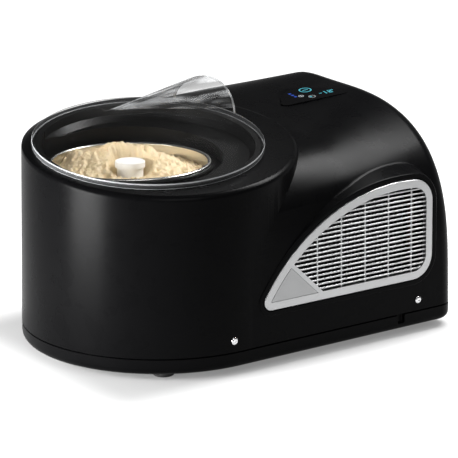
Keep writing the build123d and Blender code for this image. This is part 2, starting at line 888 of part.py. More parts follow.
# Lift-out bowl: drawn cup with a rolled rim and a tube up the middle for the shaft
with BuildPart() as bowl:
    with BuildSketch(Plane.XY.offset(bowl_bottom_z)):
        with Locations((bowl_x, 0)):
            Circle(bowl_r)
    extrude(amount=bowl_depth)
    chamfer(bowl.edges().group_by(Axis.Z)[0], bowl_chamfer)
    offset(amount=-bowl_wall, openings=bowl.faces().sort_by(Axis.Z)[-1])
    with BuildSketch(Plane.XY.offset(bowl_rim_z - bowl_rim_height)):
        with Locations((bowl_x, 0)):
            Circle(bowl_rim_r)
            Circle(bowl_r - bowl_wall, mode=Mode.SUBTRACT)
    extrude(amount=bowl_rim_height)
    chamfer(bowl.edges().group_by(Axis.Z)[-1], bowl_rim_chamfer)
    with BuildSketch(Plane.XY.offset(bowl_bottom_z)):
        with Locations((bowl_x, 0)):
            Circle(tube_r)
    extrude(amount=tube_height)
    with BuildSketch(Plane.XY.offset(bowl_bottom_z)):
        with Locations((bowl_x, 0)):
            Circle(tube_r - tube_wall)
    extrude(amount=tube_height, mode=Mode.SUBTRACT)
bowl.part.label = "bowl"
export_step(bowl.part, "parts/bowl.step")

# Paddle: a hub over the tube and two swept blades with a window in each
with BuildPart() as paddle:
    with BuildSketch(Plane.XY.offset(paddle_bottom_z)) as sweep_line:
        with BuildLine():
            ThreePointArc((bowl_x - blade_r, 0), (bowl_x - blade_r / 2, -blade_bow), (bowl_x, 0))
            ThreePointArc((bowl_x, 0), (bowl_x + blade_r / 2, blade_bow), (bowl_x + blade_r, 0))
        trace(line_width=blade_thickness)
    extrude(amount=blade_height)
    with BuildSketch(Plane.XZ.offset(-tower_r)):
        with Locations((bowl_x, paddle_bottom_z + blade_height / 2)):
            with GridLocations(blade_r + hub_r, 1, 2, 1):
                RectangleRounded(blade_window_width, blade_window_height, blade_window_corner)
    extrude(amount=2 * tower_r, mode=Mode.SUBTRACT)
    with BuildSketch(Plane.XY.offset(paddle_bottom_z)):
        with Locations((bowl_x, 0)):
            Circle(hub_r)
    extrude(amount=hub_top_z - paddle_bottom_z)
    with BuildSketch(Plane.XY.offset(paddle_bottom_z)):
        with Locations((bowl_x, 0)):
            Circle(hub_r - hub_wall)
    extrude(amount=bowl_bottom_z + tube_height + hub_wall - paddle_bottom_z, mode=Mode.SUBTRACT)
    with BuildSketch(Plane.XY.offset(paddle_bottom_z)):
        with Locations((bowl_x, 0)):
            Rectangle(square_size + 2 * fit, square_size + 2 * fit)
    extrude(amount=square_bottom_z + square_height + fit - paddle_bottom_z, mode=Mode.SUBTRACT)
    with BuildSketch(Plane.XY.offset(hub_top_z)):
        with Locations((bowl_x, 0)):
            Circle(cap_pin_r + fit)
    extrude(amount=-cap_pin_length - fit, mode=Mode.SUBTRACT)
paddle.part.label = "paddle"
export_step(paddle.part, "parts/paddle.step")

# White cap on the hub, with a pin down into it
with BuildPart() as paddle_cap:
    with BuildSketch(Plane.XY.offset(hub_top_z)):
        with Locations((bowl_x, 0)):
            Circle(cap_r)
    extrude(amount=cap_height)
    chamfer(paddle_cap.edges().group_by(Axis.Z)[-1], cap_chamfer)
    with BuildSketch(Plane.XY.offset(hub_top_z)):
        with Locations((bowl_x, 0)):
            Circle(cap_pin_r)
    extrude(amount=-cap_pin_length)
paddle_cap.part.label = "paddle_cap"
export_step(paddle_cap.part, "parts/paddle_cap.step")

# Clear lid: a rim on the ledge, a shallow crown, and a flared finger horn that
# runs out over the rim; the crown goes on under the horn
with BuildPart() as lid_dome:
    with BuildSketch(lid_section):
        with BuildLine():
            Polyline(
                (0, crown_z),
                (knee_r, crown_z),
                (lid_r, lid_height),
                (lid_r, fit),
                (lid_r - lid_rim, fit),
                (lid_r - lid_rim, lid_height - lid_thickness),
                (knee_r, crown_z - lid_thickness),
                (0, crown_z - lid_thickness),
                close=True,
            )
        make_face()
    revolve(axis=lid_axis)
with BuildPart() as lid_core:
    with BuildSketch(lid_section):
        with BuildLine():
            Polyline(
                (0, crown_z - lid_thickness / 2),
                (knee_r, crown_z - lid_thickness / 2),
                (lid_r, lid_height - lid_thickness / 2),
                (lid_r, -horn_length),
                (0, -horn_length),
                close=True,
            )
        make_face()
    revolve(axis=lid_axis)
with BuildPart() as horn:
    with Locations(horn_plane):
        Cone(
            0,
            horn_length * tan(radians(horn_half_angle)),
            horn_length,
            align=(Align.CENTER, Align.CENTER, Align.MIN),
        )
    with Locations(horn_plane.offset(lid_thickness / sin(radians(horn_half_angle)))):
        Cone(
            0,
            horn_length * tan(radians(horn_half_angle)),
            horn_length,
            align=(Align.CENTER, Align.CENTER, Align.MIN),
            mode=Mode.SUBTRACT,
        )
    with BuildSketch(lid_frame):
        Circle(lid_r - horn_setback)
    extrude(amount=horn_length, mode=Mode.INTERSECT)
    add(lid_core.part, mode=Mode.SUBTRACT)
with BuildPart() as lid:
    add(lid_dome.part)
    add(horn.part)
lid.part.label = "lid"
export_step(lid.part, "parts/lid.step")

# Compressor on its plate and rubber grommets, with the relay cover on its side
with BuildPart() as compressor:
    with BuildSketch(Plane.XY.offset(compressor_z)):
        with Locations((compressor_x, compressor_y)):
            Circle(compressor_r)
    extrude(amount=compressor_height)
    chamfer(compressor.edges().group_by(Axis.Z)[-1], compressor_crown)
compressor.part.label = "compressor"
export_step(compressor.part, "parts/compressor.step")

with BuildPart() as compressor_plate:
    with BuildSketch(Plane.XY.offset(compressor_z)):
        with Locations((compressor_x, compressor_y)):
            RectangleRounded(compressor_plate_length, compressor_plate_width, plate_corner)
    extrude(amount=-plate_thickness)
compressor_plate.part.label = "compressor_plate"
export_step(compressor_plate.part, "parts/compressor_plate.step")

with BuildPart() as compressor_grommets:
    with BuildSketch(Plane.XY.offset(tray_floor_z)):
        with Locations((compressor_x, compressor_y)):
            with GridLocations(grommet_pitch_x, grommet_pitch_y, 2, 2):
                Circle(grommet_r)
    extrude(amount=grommet_height)
compressor_grommets.part.label = "compressor_grommets"
export_step(compressor_grommets.part, "parts/compressor_grommets.step")

with BuildPart() as relay_cover:
    with BuildSketch(Plane.XY.offset(compressor_z + relay_lift)):
        with Locations((compressor_x - compressor_r, compressor_y)):
            RectangleRounded(relay_depth, relay_width, relay_corner)
        with Locations((compressor_x, compressor_y)):
            Circle(compressor_r + fit, mode=Mode.SUBTRACT)
    extrude(amount=relay_height)
relay_cover.part.label = "relay_cover"
export_step(relay_cover.part, "parts/relay_cover.step")

# Condenser: a finned core between two end plates that stand on the tray
with BuildPart() as condenser_core:
    with BuildSketch(Plane.XY.offset(condenser_z)):
        with Locations((condenser_x, condenser_y)):
            Rectangle(condenser_length, condenser_depth)
            for face_y in (-condenser_depth / 2, condenser_depth / 2):
                with Locations((0, face_y)):
                    with GridLocations(fin_pitch, fin_pitch, fin_count, 1):
                        Rectangle(fin_slit, 2 * fin_slit_depth, mode=Mode.SUBTRACT)
    extrude(amount=condenser_height)
    with BuildSketch(Plane.XY.offset(tray_floor_z)):
        with Locations((condenser_x, condenser_y)):
            with GridLocations(condenser_length + end_plate, 1, 2, 1):
                Rectangle(end_plate, condenser_depth)
    extrude(amount=condenser_z + condenser_height - tray_floor_z)
condenser_core.part.label = "condenser_core"
export_step(condenser_core.part, "parts/condenser_core.step")

# Upright header tubes at the two ends of the condenser
with BuildPart() as condenser_headers:
    with BuildSketch(Plane.XY.offset(condenser_z)):
        with Locations((condenser_x, condenser_y)):
            with GridLocations(condenser_length + 2 * end_plate + 2 * header_r, 1, 2, 1):
                Circle(header_r)
    extrude(amount=condenser_height)
condenser_headers.part.label = "condenser_headers"
export_step(condenser_headers.part, "parts/condenser_headers.step")

# Fan shroud on the back of the condenser, with a bar across it for the motor
with BuildPart() as fan_shroud:
    with BuildSketch(shroud_front):
        Rectangle(condenser_length, condenser_height)
        Rectangle(
            condenser_length - 2 * shroud_wall,
            condenser_height - 2 * shroud_wall,
            mode=Mode.SUBTRACT,
        )
    extrude(amount=shroud_depth)
    with BuildSketch(shroud_front.offset(shroud_depth - shroud_wall)):
        Rectangle(condenser_length, condenser_height)
        Circle(fan_r + fan_gap, mode=Mode.SUBTRACT)
    extrude(amount=shroud_wall)
    with BuildSketch(shroud_front.offset(fan_gap)):
        Circle(fan_r + fan_gap + shroud_wall)
        Circle(fan_r + fan_gap, mode=Mode.SUBTRACT)
    extrude(amount=shroud_depth - fan_gap)
    with BuildSketch(shroud_front.offset(shroud_depth)):
        Rectangle(bar_width, condenser_height)
        Circle(fan_motor_r)
        Circle(fan_shaft_r + fan_gap, mode=Mode.SUBTRACT)
    extrude(amount=bar_thickness)
fan_shroud.part.label = "fan_shroud"
export_step(fan_shroud.part, "parts/fan_shroud.step")

# Fan: five pitched blades on a hub, modelled about its own axis and then placed
with BuildPart() as fan_blade:
    with BuildSketch(Plane(origin=(fan_hub_r - 2, 0, 0), x_dir=(0, 1, 0), z_dir=(1, 0, 0))):
        Rectangle(blade_chord, fan_blade_thickness, rotation=blade_pitch)
    extrude(amount=fan_r - fan_hub_r + 2)
with BuildPart() as fan_form:
    with BuildSketch(Plane.XY.offset(-fan_width / 2)):
        Circle(fan_hub_r)
    extrude(amount=fan_width)
    with PolarLocations(0, blade_count):
        add(fan_blade.part)
    with BuildSketch(Plane.XY.offset(-fan_width / 2)):
        Circle(fan_shaft_r + running_gap)
    extrude(amount=fan_width, mode=Mode.SUBTRACT)
with BuildPart() as fan_blades:
    with Locations(shroud_front.offset(shroud_depth - fan_width / 2 - fan_gap)):
        add(fan_form.part)
fan_blades.part.label = "fan_blades"
export_step(fan_blades.part, "parts/fan_blades.step")

with BuildPart() as fan_motor:
    with BuildSketch(shroud_front.offset(shroud_depth + bar_thickness)):
        Circle(fan_motor_r)
    extrude(amount=fan_motor_length)
    with BuildSketch(shroud_front.offset(shroud_depth + bar_thickness)):
        Circle(fan_shaft_r)
    extrude(amount=-bar_thickness - fan_width)
fan_motor.part.label = "fan_motor"
export_step(fan_motor.part, "parts/fan_motor.step")


# Refrigerant circuit: bent copper tube between the compressor, condenser, drier and coil
def bent_pipe(points, radius):
    """Tube along straight runs that turn at mitred corners."""
    with BuildPart() as pipe:
        with BuildLine() as route:
            Polyline(*points)
        with BuildSketch(Plane(origin=route.line @ 0, z_dir=route.line % 0)):
            Circle(radius)
        sweep(path=route.line, transition=Transition.RIGHT)
    return pipe.part


def insulation_edge_x(y):
    """Outside of the foam cup, on the side towards the compressor."""
    return bowl_x + sqrt(insulation_r**2 - y**2)


pipe_lane_x = condenser_end_x + pipe_lane
discharge_end_z = condenser_z + condenser_height - pipe_inset
discharge_z = compressor_z + compressor_height / 2 - pipe_lane
discharge_pipe = bent_pipe(
    [
        (compressor_x, compressor_y - compressor_r, discharge_z),
        (compressor_x, compressor_y - compressor_r - pipe_lane, discharge_z),
        (pipe_lane_x, compressor_y - compressor_r - pipe_lane, discharge_z),
        (pipe_lane_x, condenser_y, discharge_z),
        (pipe_lane_x, condenser_y, discharge_end_z),
        (condenser_end_x, condenser_y, discharge_end_z),
    ],
    pipe_r,
)
discharge_pipe.label = "discharge_pipe"
export_step(discharge_pipe, "parts/discharge_pipe.step")

liquid_z = condenser_z + pipe_inset
liquid_pipe = bent_pipe(
    [
        (condenser_start_x, condenser_y, liquid_z),
        (drier_x, condenser_y, liquid_z),
        (drier_x, drier_y, liquid_z),
        (drier_x, drier_y, drier_z),
    ],
    pipe_r,
)
liquid_pipe.label = "liquid_pipe"
export_step(liquid_pipe, "parts/liquid_pipe.step")

with BuildPart() as filter_drier:
    with BuildSketch(Plane.XY.offset(drier_z)):
        with Locations((drier_x, drier_y)):
            Circle(drier_r)
    extrude(amount=drier_length)
filter_drier.part.label = "filter_drier"
export_step(filter_drier.part, "parts/filter_drier.step")

capillary_tube = bent_pipe(
    [
        (drier_x, drier_y, drier_z + drier_length),
        (drier_x, drier_y, suction_z - pipe_lane),
        (insulation_edge_x(drier_y + capillary_r), drier_y, suction_z - pipe_lane),
    ],
    capillary_r,
)
capillary_tube.label = "capillary_tube"
export_step(capillary_tube, "parts/capillary_tube.step")

suction_pipe = bent_pipe(
    [
        (insulation_edge_x(0), 0, suction_z),
        (compressor_x, 0, suction_z),
        (compressor_x, compressor_y, suction_z),
        (compressor_x, compressor_y, compressor_z + compressor_height),
    ],
    pipe_r,
)
suction_pipe.label = "suction_pipe"
export_step(suction_pipe, "parts/suction_pipe.step")

# Power board on the tray bosses, and its transformer
with BuildPart() as power_board:
    with BuildSketch(Plane.XY.offset(board_z)):
        with Locations((board_x, board_y)):
            RectangleRounded(board_length, board_width, board_corner)
    extrude(amount=board_thickness)
    with BuildSketch(Plane.XY.offset(board_z + board_thickness)):
        with Locations((board_x - board_length / 4, board_y)):
            with GridLocations(1, 3 * capacitor_r, 1, 2):
                Circle(capacitor_r)
    extrude(amount=capacitor_height)
power_board.part.label = "power_board"
export_step(power_board.part, "parts/power_board.step")

with BuildPart() as transformer:
    with BuildSketch(Plane.XY.offset(board_z + board_thickness)):
        with Locations((board_x + board_length / 4, board_y)):
            Rectangle(transformer_length, transformer_width)
    extrude(amount=transformer_height)
    with BuildSketch(Plane.XY.offset(board_z + board_thickness + transformer_height / 4)):
        with Locations((board_x + board_length / 4, board_y)):
            Rectangle(transformer_length / 2, transformer_width + 2 * winding_proud)
    extrude(amount=transformer_height / 2)
transformer.part.label = "transformer"
export_step(transformer.part, "parts/transformer.step")

# Mains inlet in the end wall: a socket with three blades, flanged behind the wall
with BuildPart() as mains_inlet:
    with BuildSketch(end_side.offset(-inlet_flush)):
        with Locations(inlet_place):
            RectangleRounded(inlet_width, inlet_height, inlet_corner)
    extrude(amount=-inlet_depth)
    with BuildSketch(end_side.offset(-wall)):
        with Locations(inlet_place):
            RectangleRounded(inlet_width + inlet_flange, inlet_height + inlet_flange, inlet_corner)
    extrude(amount=-inlet_flange_thickness)
    with BuildSketch(end_side.offset(-inlet_flush)):
        with Locations(inlet_place):
            Rectangle(socket_width, socket_height)
    extrude(amount=-socket_depth, mode=Mode.SUBTRACT)
    with BuildSketch(end_side.offset(-inlet_flush - socket_depth)):
        with Locations(inlet_place):
            with GridLocations(inlet_pin_pitch, 1, 3, 1):
                Rectangle(inlet_pin_width, inlet_pin_height)
    extrude(amount=inlet_pin_length)
mains_inlet.part.label = "mains_inlet"
export_step(mains_inlet.part, "parts/mains_inlet.step")
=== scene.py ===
import bmesh
import bpy
from math import atan2, cos, pi, radians, sin, sqrt, tan
from mathutils import Matrix, Vector, noise


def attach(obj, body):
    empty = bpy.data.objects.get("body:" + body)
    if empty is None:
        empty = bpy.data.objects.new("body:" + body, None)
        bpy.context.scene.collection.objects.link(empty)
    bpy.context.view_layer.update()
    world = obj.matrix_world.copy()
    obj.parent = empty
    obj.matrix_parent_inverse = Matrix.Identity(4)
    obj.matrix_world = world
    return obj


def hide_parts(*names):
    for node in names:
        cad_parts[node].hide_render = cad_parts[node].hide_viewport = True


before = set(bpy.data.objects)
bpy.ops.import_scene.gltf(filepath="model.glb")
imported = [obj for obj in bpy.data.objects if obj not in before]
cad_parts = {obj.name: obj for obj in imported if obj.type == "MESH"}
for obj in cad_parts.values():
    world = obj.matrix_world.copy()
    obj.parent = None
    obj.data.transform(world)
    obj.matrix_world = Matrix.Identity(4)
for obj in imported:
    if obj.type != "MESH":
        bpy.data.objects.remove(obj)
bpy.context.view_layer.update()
bpy.ops.object.select_all(action="DESELECT")
scene = bpy.context.scene
scene.view_settings.view_transform = "Standard"

# Base tray: the shallow black moulding that everything stands on. Injection moulded,
# rounded in underneath, with a lip that the housing drops over, posts that the side
# screws bite into and a hand notch in its near edge.
tower_x = -0.06675
tower_r = 0.1425
end_x = 0.20925
end_round = 0.020
tray_foot = 0.0075
tray_top = 0.0235
tray_half = 0.1422
tray_round = 0.008
lip_inset = 0.0035
lip_width = 0.003
lip_top = 0.034
tray_floor = 0.0105
screw_u = (tower_x - 0.0097, end_x - 0.0527)
post_y, post_z = 0.1315, 0.0275
post_size, post_round = (0.014, 0.013, 0.035), 0.001
notch_place = (end_x - 0.075, -tower_r, 0.0205)
notch_size, notch_round = (0.009, 0.009, 0.012), 0.002
tray_dark, tray_light = (0.0018, 0.0018, 0.0020), (0.0028, 0.0028, 0.0030)
hair, merge_gap, no_step = 1e-5, 2e-6, 1e-7


class Pen:
    """Draws a line in a mesh by extruding its last point and swinging it round in arcs."""

    def __init__(self, name, start):
        bpy.ops.mesh.primitive_plane_add(size=0.001)
        if bpy.context.mode == "OBJECT":
            bpy.context.object.name = name
            open_mesh()
        bpy.ops.mesh.select_mode(type="VERT")
        bpy.ops.mesh.merge(type="CENTER")
        bpy.ops.transform.translate(value=start)
        self.at = start

    def line(self, stop):
        """Runs straight on to a point, unless it is there already."""
        if (stop - self.at).length > no_step:
            bpy.ops.mesh.extrude_vertices_move(TRANSFORM_OT_translate={"value": stop - self.at})
            self.at = stop

    def arc(self, middle, stop, steps):
        """Runs on through a point to another, round the circle that they give."""
        first, last = middle - self.at, stop - self.at
        across = first.cross(last)
        reach = last * first.length_squared - first * last.length_squared
        centre = self.at + reach.cross(across) / (2 * across.length_squared)
        axis = across.normalized()
        start, end = self.at - centre, stop - centre
        turn = atan2(axis.dot(start.cross(end)), start.dot(end)) % (2 * pi)
        bpy.ops.mesh.spin(steps=steps, angle=-turn, center=centre, axis=axis)
        self.at = stop


def contour(name, corners, closed=True):
    """Draws straight runs through (place, radius, steps) corners, each rounded at its radius."""
    runs = []
    for i, (place, radius, steps) in enumerate(corners):
        if radius == 0 or (not closed and i in (0, len(corners) - 1)):
            runs.append((place, None, place, 0))
            continue
        back = (corners[i - 1][0] - place).normalized()
        on = (corners[(i + 1) % len(corners)][0] - place).normalized()
        half = back.angle(on) / 2
        inward = (back + on).normalized()
        middle = place + inward * (radius / sin(half) - radius)
        leg = radius / tan(half)
        runs.append((place + back * leg, middle, place + on * leg, steps))
    pen = Pen(name, runs[0][0])
    for start, middle, stop, steps in runs:
        pen.line(start)
        if middle:
            pen.arc(middle, stop, steps)
    if closed:
        pen.line(runs[0][0])


def merge():
    """Joins the points that meet and turns the faces outwards."""
    bpy.ops.mesh.select_mode(type="VERT")
    bpy.ops.mesh.select_all(action="SELECT")
    bpy.ops.mesh.remove_doubles(threshold=merge_gap)
    bpy.ops.mesh.normals_make_consistent(inside=False)


def pick(kind, wanted):
    """Selects the edges or faces of the open mesh that pass a test on them and their corners."""
    bpy.ops.mesh.select_mode(type=kind)
    bpy.ops.mesh.select_all(action="DESELECT")
    mesh = bmesh.from_edit_mesh(bpy.context.object.data)
    for part in {"EDGE": mesh.edges, "FACE": mesh.faces}[kind]:
        if wanted(part, [corner.co for corner in part.verts]):
            part.select_set(True)
    mesh.select_flush_mode()
    bmesh.update_edit_mesh(bpy.context.object.data)


def raise_face(step):
    """Extrudes what is selected by a step."""
    bpy.ops.mesh.extrude_region_move(TRANSFORM_OT_translate={"value": step})


def open_mesh():
    """Starts to edit the mesh of the active piece."""
    bpy.ops.object.mode_set(mode="EDIT")


def close():
    """Leaves the mesh and gives its piece back."""
    bpy.ops.object.mode_set(mode="OBJECT")
    return bpy.context.object


def block(name, middle, size, rounding):
    """A block with its edges rounded over."""
    bpy.ops.mesh.primitive_cube_add(size=1)
    bpy.context.object.name = name
    open_mesh()
    bpy.ops.transform.resize(value=size)
    bpy.ops.transform.translate(value=middle)
    bpy.ops.mesh.bevel(offset=rounding, segments=3)
    return close()


def combine(piece, other, how):
    """Joins another solid to a piece, or cuts it away, and removes it."""
    bpy.context.view_layer.objects.active = piece
    step = piece.modifiers.new("combine", "BOOLEAN")
    step.object, step.operation, step.solver = other, how, "EXACT"
    bpy.ops.object.modifier_apply(modifier=step.name)
    bpy.data.objects.remove(other)


def choose(*pieces):
    """Selects some pieces and no others, and makes the first the active one."""
    bpy.ops.object.select_all(action="DESELECT")
    for piece in pieces:
        piece.select_set(True)
    bpy.context.view_layer.objects.active = pieces[0]


def smooth(piece, angle=35):
    """Smooths a piece but for its sharp edges, and keeps its flat faces flat."""
    choose(piece)
    bpy.ops.object.shade_smooth_by_angle(angle=radians(angle))
    step = piece.modifiers.new("flats", "WEIGHTED_NORMAL")
    step.keep_sharp = True
    bpy.ops.object.modifier_apply(modifier=step.name)
    piece.select_set(False)


class Wire:
    """A shader socket that can be used in sums."""

    def __init__(self, tree, socket):
        self.tree = tree
        self.socket = socket

    def node(self, kind, settings, sockets, out=0):
        """Adds a node with its settings and its sockets' values or links, and gives one output."""
        made = self.tree.nodes.new(kind)
        for key, value in settings.items():
            setattr(made, key, value)
        self.feed(made.inputs, sockets)
        return Wire(self.tree, made.outputs[out])

    def feed(self, inputs, sockets):
        """Gives sockets their values or links."""
        for key, value in sockets.items():
            if isinstance(value, Wire):
                self.tree.links.new(value.socket, inputs[key])
            else:
                inputs[key].default_value = value

    def sum(self, operation, first, second):
        """Adds a Math node on two values."""
        return self.node("ShaderNodeMath", {"operation": operation}, {0: first, 1: second})

    def __add__(self, other):
        return self.sum("ADD", self, other)

    __radd__ = __add__

    def __sub__(self, other):
        return self.sum("SUBTRACT", self, other)

    def __rsub__(self, other):
        return self.sum("SUBTRACT", other, self)

    def __mul__(self, other):
        return self.sum("MULTIPLY", self, other)

    __rmul__ = __mul__

    def __gt__(self, other):
        return self.sum("GREATER_THAN", self, other)

    def __lt__(self, other):
        return self.sum("LESS_THAN", self, other)


def new_material(name):
    """Starts a material and gives back its object coordinates."""
    made = bpy.data.materials.new(name)
    made.use_nodes = True
    tree = made.node_tree
    return made, Wire(tree, tree.nodes.new("ShaderNodeTexCoord").outputs["Object"])


def shade(at, **sockets):
    """Sets or links the shader's sockets, named with _ for a space."""
    inputs = at.tree.nodes["Principled BSDF"].inputs
    at.feed(inputs, {key.replace("_", " "): value for key, value in sockets.items()})


def cloud(at, scale, detail=3.0, stretch=(1, 1, 1)):
    """Noise on the piece's own coordinates, drawn out along an axis by a small stretch."""
    place = at.node("ShaderNodeMapping", {}, {"Vector": at, "Scale": stretch})
    return at.node("ShaderNodeTexNoise", {}, {"Vector": place, "Scale": scale, "Detail": detail})


def mix(share, first, second):
    """One colour turning into another."""
    return share.node("ShaderNodeMix", {"data_type": "RGBA"}, {0: share, 6: first, 7: second}, 2)


def bump(at, height, depth, strength=0.5):
    """Makes a height into a fine relief of the surface."""
    return at.node("ShaderNodeBump", {}, {"Height": height, "Distance": depth, "Strength": strength})


def moulded(name, dark, light, rough, grain=1400.0, depth=0.00004, patch=45.0, swing=0.10, **more):
    """Plastic, foam or rubber from a mould: two close shades and a fine even grain."""
    made, at = new_material(name)
    patches = cloud(at, patch)
    shade(
        at,
        Base_Color=mix(patches, (*dark, 1), (*light, 1)),
        Roughness=rough + (patches - 0.5) * swing,
        Normal=bump(at, cloud(at, grain, detail=2.0), depth),
        **more,
    )
    return made


def fit(piece, made, body, slot, *nodes):
    """Gives a finished piece its material and its body and hides the CAD nodes that it stands for; its slot
    is not used.
    """
    piece.data.materials.clear()
    piece.data.materials.append(made)
    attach(piece, body)
    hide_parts(*nodes)


contour(
    "tray",
    [
        (Vector((tower_x - tower_r, -tray_half, tray_foot)), tray_half, 40),
        (Vector((end_x, -tray_half, tray_foot)), end_round, 10),
        (Vector((end_x, tray_half, tray_foot)), end_round, 10),
        (Vector((tower_x - tower_r, tray_half, tray_foot)), tray_half, 40),
    ],
)
merge()
bpy.ops.mesh.edge_face_add()
raise_face((0, 0, tray_top - tray_foot))
merge()
pick("EDGE", lambda edge, points: all(p.z < tray_foot + hair for p in points))
bpy.ops.mesh.bevel(offset=tray_round, segments=6)
pick("FACE", lambda face, points: min(p.z for p in points) > tray_top - hair)
bpy.ops.mesh.inset(thickness=lip_inset)
raise_face((0, 0, lip_top - tray_top))
bpy.ops.mesh.inset(thickness=lip_width)
raise_face((0, 0, tray_floor - lip_top))
tray = close()
for u in screw_u:
    for side in (-1, 1):
        post = block("post", (u, side * post_y, post_z), post_size, post_round)
        combine(tray, post, "UNION")
combine(tray, block("notch", notch_place, notch_size, notch_round), "DIFFERENCE")
smooth(tray)
tray_black = moulded(
    "tray_black", tray_dark, tray_light, rough=0.30, depth=0.000015, Specular_IOR_Level=0.035
)
fit(tray, tray_black, "housing", "black_tray", "base_tray")

# Feet: four round pads of black rubber under the tray, pressed on to short pegs,
# rounded at the floor and dished so that they grip.
foot_r, foot_dish = 0.011, 0.0012
foot_places = [(-0.12875, -0.096), (-0.12875, 0.096), (0.16925, -0.105), (0.16925, 0.105)]


def turned(name, corners, steps, set_up):
    """A round piece: its half section, as (radius, height, rounding, steps), spun about its axis."""
    places = [(set_up @ Vector((r, 0, z)), rounding, bends) for r, z, rounding, bends in corners]
    contour(name, places, closed=min(c[0] for c in corners) > 0)
    bpy.ops.mesh.select_all(action="SELECT")
    axis = set_up.to_3x3() @ Vector((0, 0, 1))
    bpy.ops.mesh.spin(steps=steps, angle=2 * pi, center=set_up.to_translation(), axis=axis)
    merge()
    return close()


def copied(piece, move):
    """Another of a piece, with its own mesh, moved over."""
    choose(piece)
    bpy.ops.object.duplicate(linked=False)
    open_mesh()
    bpy.ops.mesh.select_all(action="SELECT")
    bpy.ops.transform.translate(value=move)
    return close()


def joined(name, pieces):
    """Several like pieces as one."""
    choose(*pieces)
    bpy.ops.object.join()
    pieces[0].name = name
    return pieces[0]


foot = turned(
    "foot",
    [
        (0, tray_foot, 0, 0),
        (foot_r - 0.0005, tray_foot, 0, 0),
        (foot_r, 0, 0.0018, 4),
        (foot_r - 0.0035, 0, 0.0008, 2),
        (foot_r - 0.0045, foot_dish, 0.0008, 2),
        (0, foot_dish, 0, 0),
    ],
    steps=40,
    set_up=Matrix.Translation((*foot_places[0], 0)),
)
feet = [foot]
for x, y in foot_places[1:]:
    feet.append(copied(foot, (x - foot_places[0][0], y - foot_places[0][1], 0)))
feet = joined("rubber_feet", feet)
smooth(feet)
rubber = moulded(
    "foot_rubber", (0.016, 0.016, 0.016), (0.024, 0.024, 0.024), rough=0.8, grain=700.0, depth=0.0001
)
fit(feet, rubber, "housing", "black_rubber", "feet")

# Cooling set: enamelled compressor on rubber grommets, copper pipes and a finned
# condenser with its fan. Bought in, bolted to the tray and brazed up in place.


def dress(made, *nodes):
    """Gives CAD nodes a material in place of their own."""
    for node in nodes:
        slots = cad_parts[node].data.materials
        slots.clear()
        slots.append(made)


def metal(
    name, dull, bright, rough, grain=300.0, stretch=(1, 1, 1), depth=0.00002, patch=28.0, swing=0.14, **more
):
    """Bare or plated metal: cloudy, with fine marks that may run one way."""
    made, at = new_material(name)
    marks = cloud(at, grain, detail=4.0, stretch=stretch)
    shade(
        at,
        Base_Color=mix(cloud(at, patch), (*dull, 1), (*bright, 1)),
        Roughness=rough + (marks - 0.5) * swing,
        Metallic=1.0,
        Normal=bump(at, marks, depth, strength=0.35),
        **more,
    )
    return made


dress(rubber, "compressor_grommets")
enamel = moulded(
    "stoved_enamel", (0.012, 0.012, 0.013), (0.020, 0.020, 0.021), rough=0.3, grain=260.0, depth=0.0001
)
dress(enamel, "compressor")
plated = metal("plated_steel", (0.42, 0.41, 0.38), (0.55, 0.54, 0.50), rough=0.38)
dress(plated, "compressor_plate", "motor_plate", "plate_pillars")
dress(plated, "gearbox", "drive_motor", "fan_motor", "drive_shaft")
# Copper is darkened almost to black, well below copper's own colour: painted shade for the dark inside
# behind the grilles.
copper = metal("copper_darkened_painted_shade", (0.060, 0.036, 0.026), (0.105, 0.062, 0.042), rough=0.5, grain=180.0)
dress(copper, "discharge_pipe", "liquid_pipe", "suction_pipe", "capillary_tube", "filter_drier")
# Condenser fins and headers are painted near black: painted shade for the dark inside seen between the
# grille's slats.
fins_in_painted_shade = moulded(
    "fins_painted_black_for_shade", (0.004, 0.004, 0.004), (0.008, 0.008, 0.008), rough=0.5, Specular_IOR_Level=0.2
)
dress(fins_in_painted_shade, "condenser_core", "condenser_headers")
black_mould = moulded("black_mould", (0.010, 0.010, 0.010), (0.016, 0.016, 0.016), rough=0.5)
dress(black_mould, "fan_shroud", "fan_blades", "relay_cover", "mains_inlet")

# Electrics: a power board on the tray posts with its transformer, and the board
# under the display. Bare glass laminate under green resist.
board, at = new_material("board_green")
thread, thread_run = 900.0, 0.1
weave = cloud(at, thread, 2.0, (1, thread_run, 1)) + cloud(at, thread, 2.0, (thread_run, 1, 1))
shade(
    at,
    Base_Color=mix(cloud(at, 60.0), (0.010, 0.075, 0.030, 1), (0.020, 0.115, 0.045, 1)),
    Roughness=0.42 + (weave - 1.0) * 0.2,
    Normal=bump(at, weave, depth=0.00003),
)
dress(board, "power_board", "control_board", "transformer")

# Cold well: a drawn can in an evaporator jacket, packed in a foam cup, on a steel
# plate. Soldered and foamed up, then hung from the liner.
can_metal = metal(
    "can_metal", (0.60, 0.61, 0.62), (0.74, 0.75, 0.76), rough=0.3, grain=420.0, stretch=(1, 1, 0.04)
)
dress(can_metal, "cooling_can", "evaporator_jacket")
foam = moulded("foam", (0.60, 0.55, 0.42), (0.74, 0.70, 0.58), rough=0.9, grain=420.0, depth=0.0004)
dress(foam, "insulation")

# Housing: one black moulding, a drafted tower run into a hood that swells towards the
# end, with a brow round each side opening. Moulded in satin plastic, then screwed
# to the tray from the sides.
flank = 0.1419
wall = 0.003
seam = 0.025
screw_v = 0.0113
draft = radians(1.2)
slope = tan(draft)
ledge_z, ledge_round = 0.207, 0.0055
ledge_rise, ledge_tip = 0.065, 0.15
ledge_lean = Vector((-ledge_rise, -ledge_tip, 1)).normalized()
ledge_along = Vector((1, 0, ledge_rise)).normalized()
ledge_back = ledge_lean.cross(ledge_along)
ledge_turn = Matrix((ledge_along, ledge_back, ledge_lean)).transposed().to_4x4()
tower_blank, tower_sides = 0.27, 320
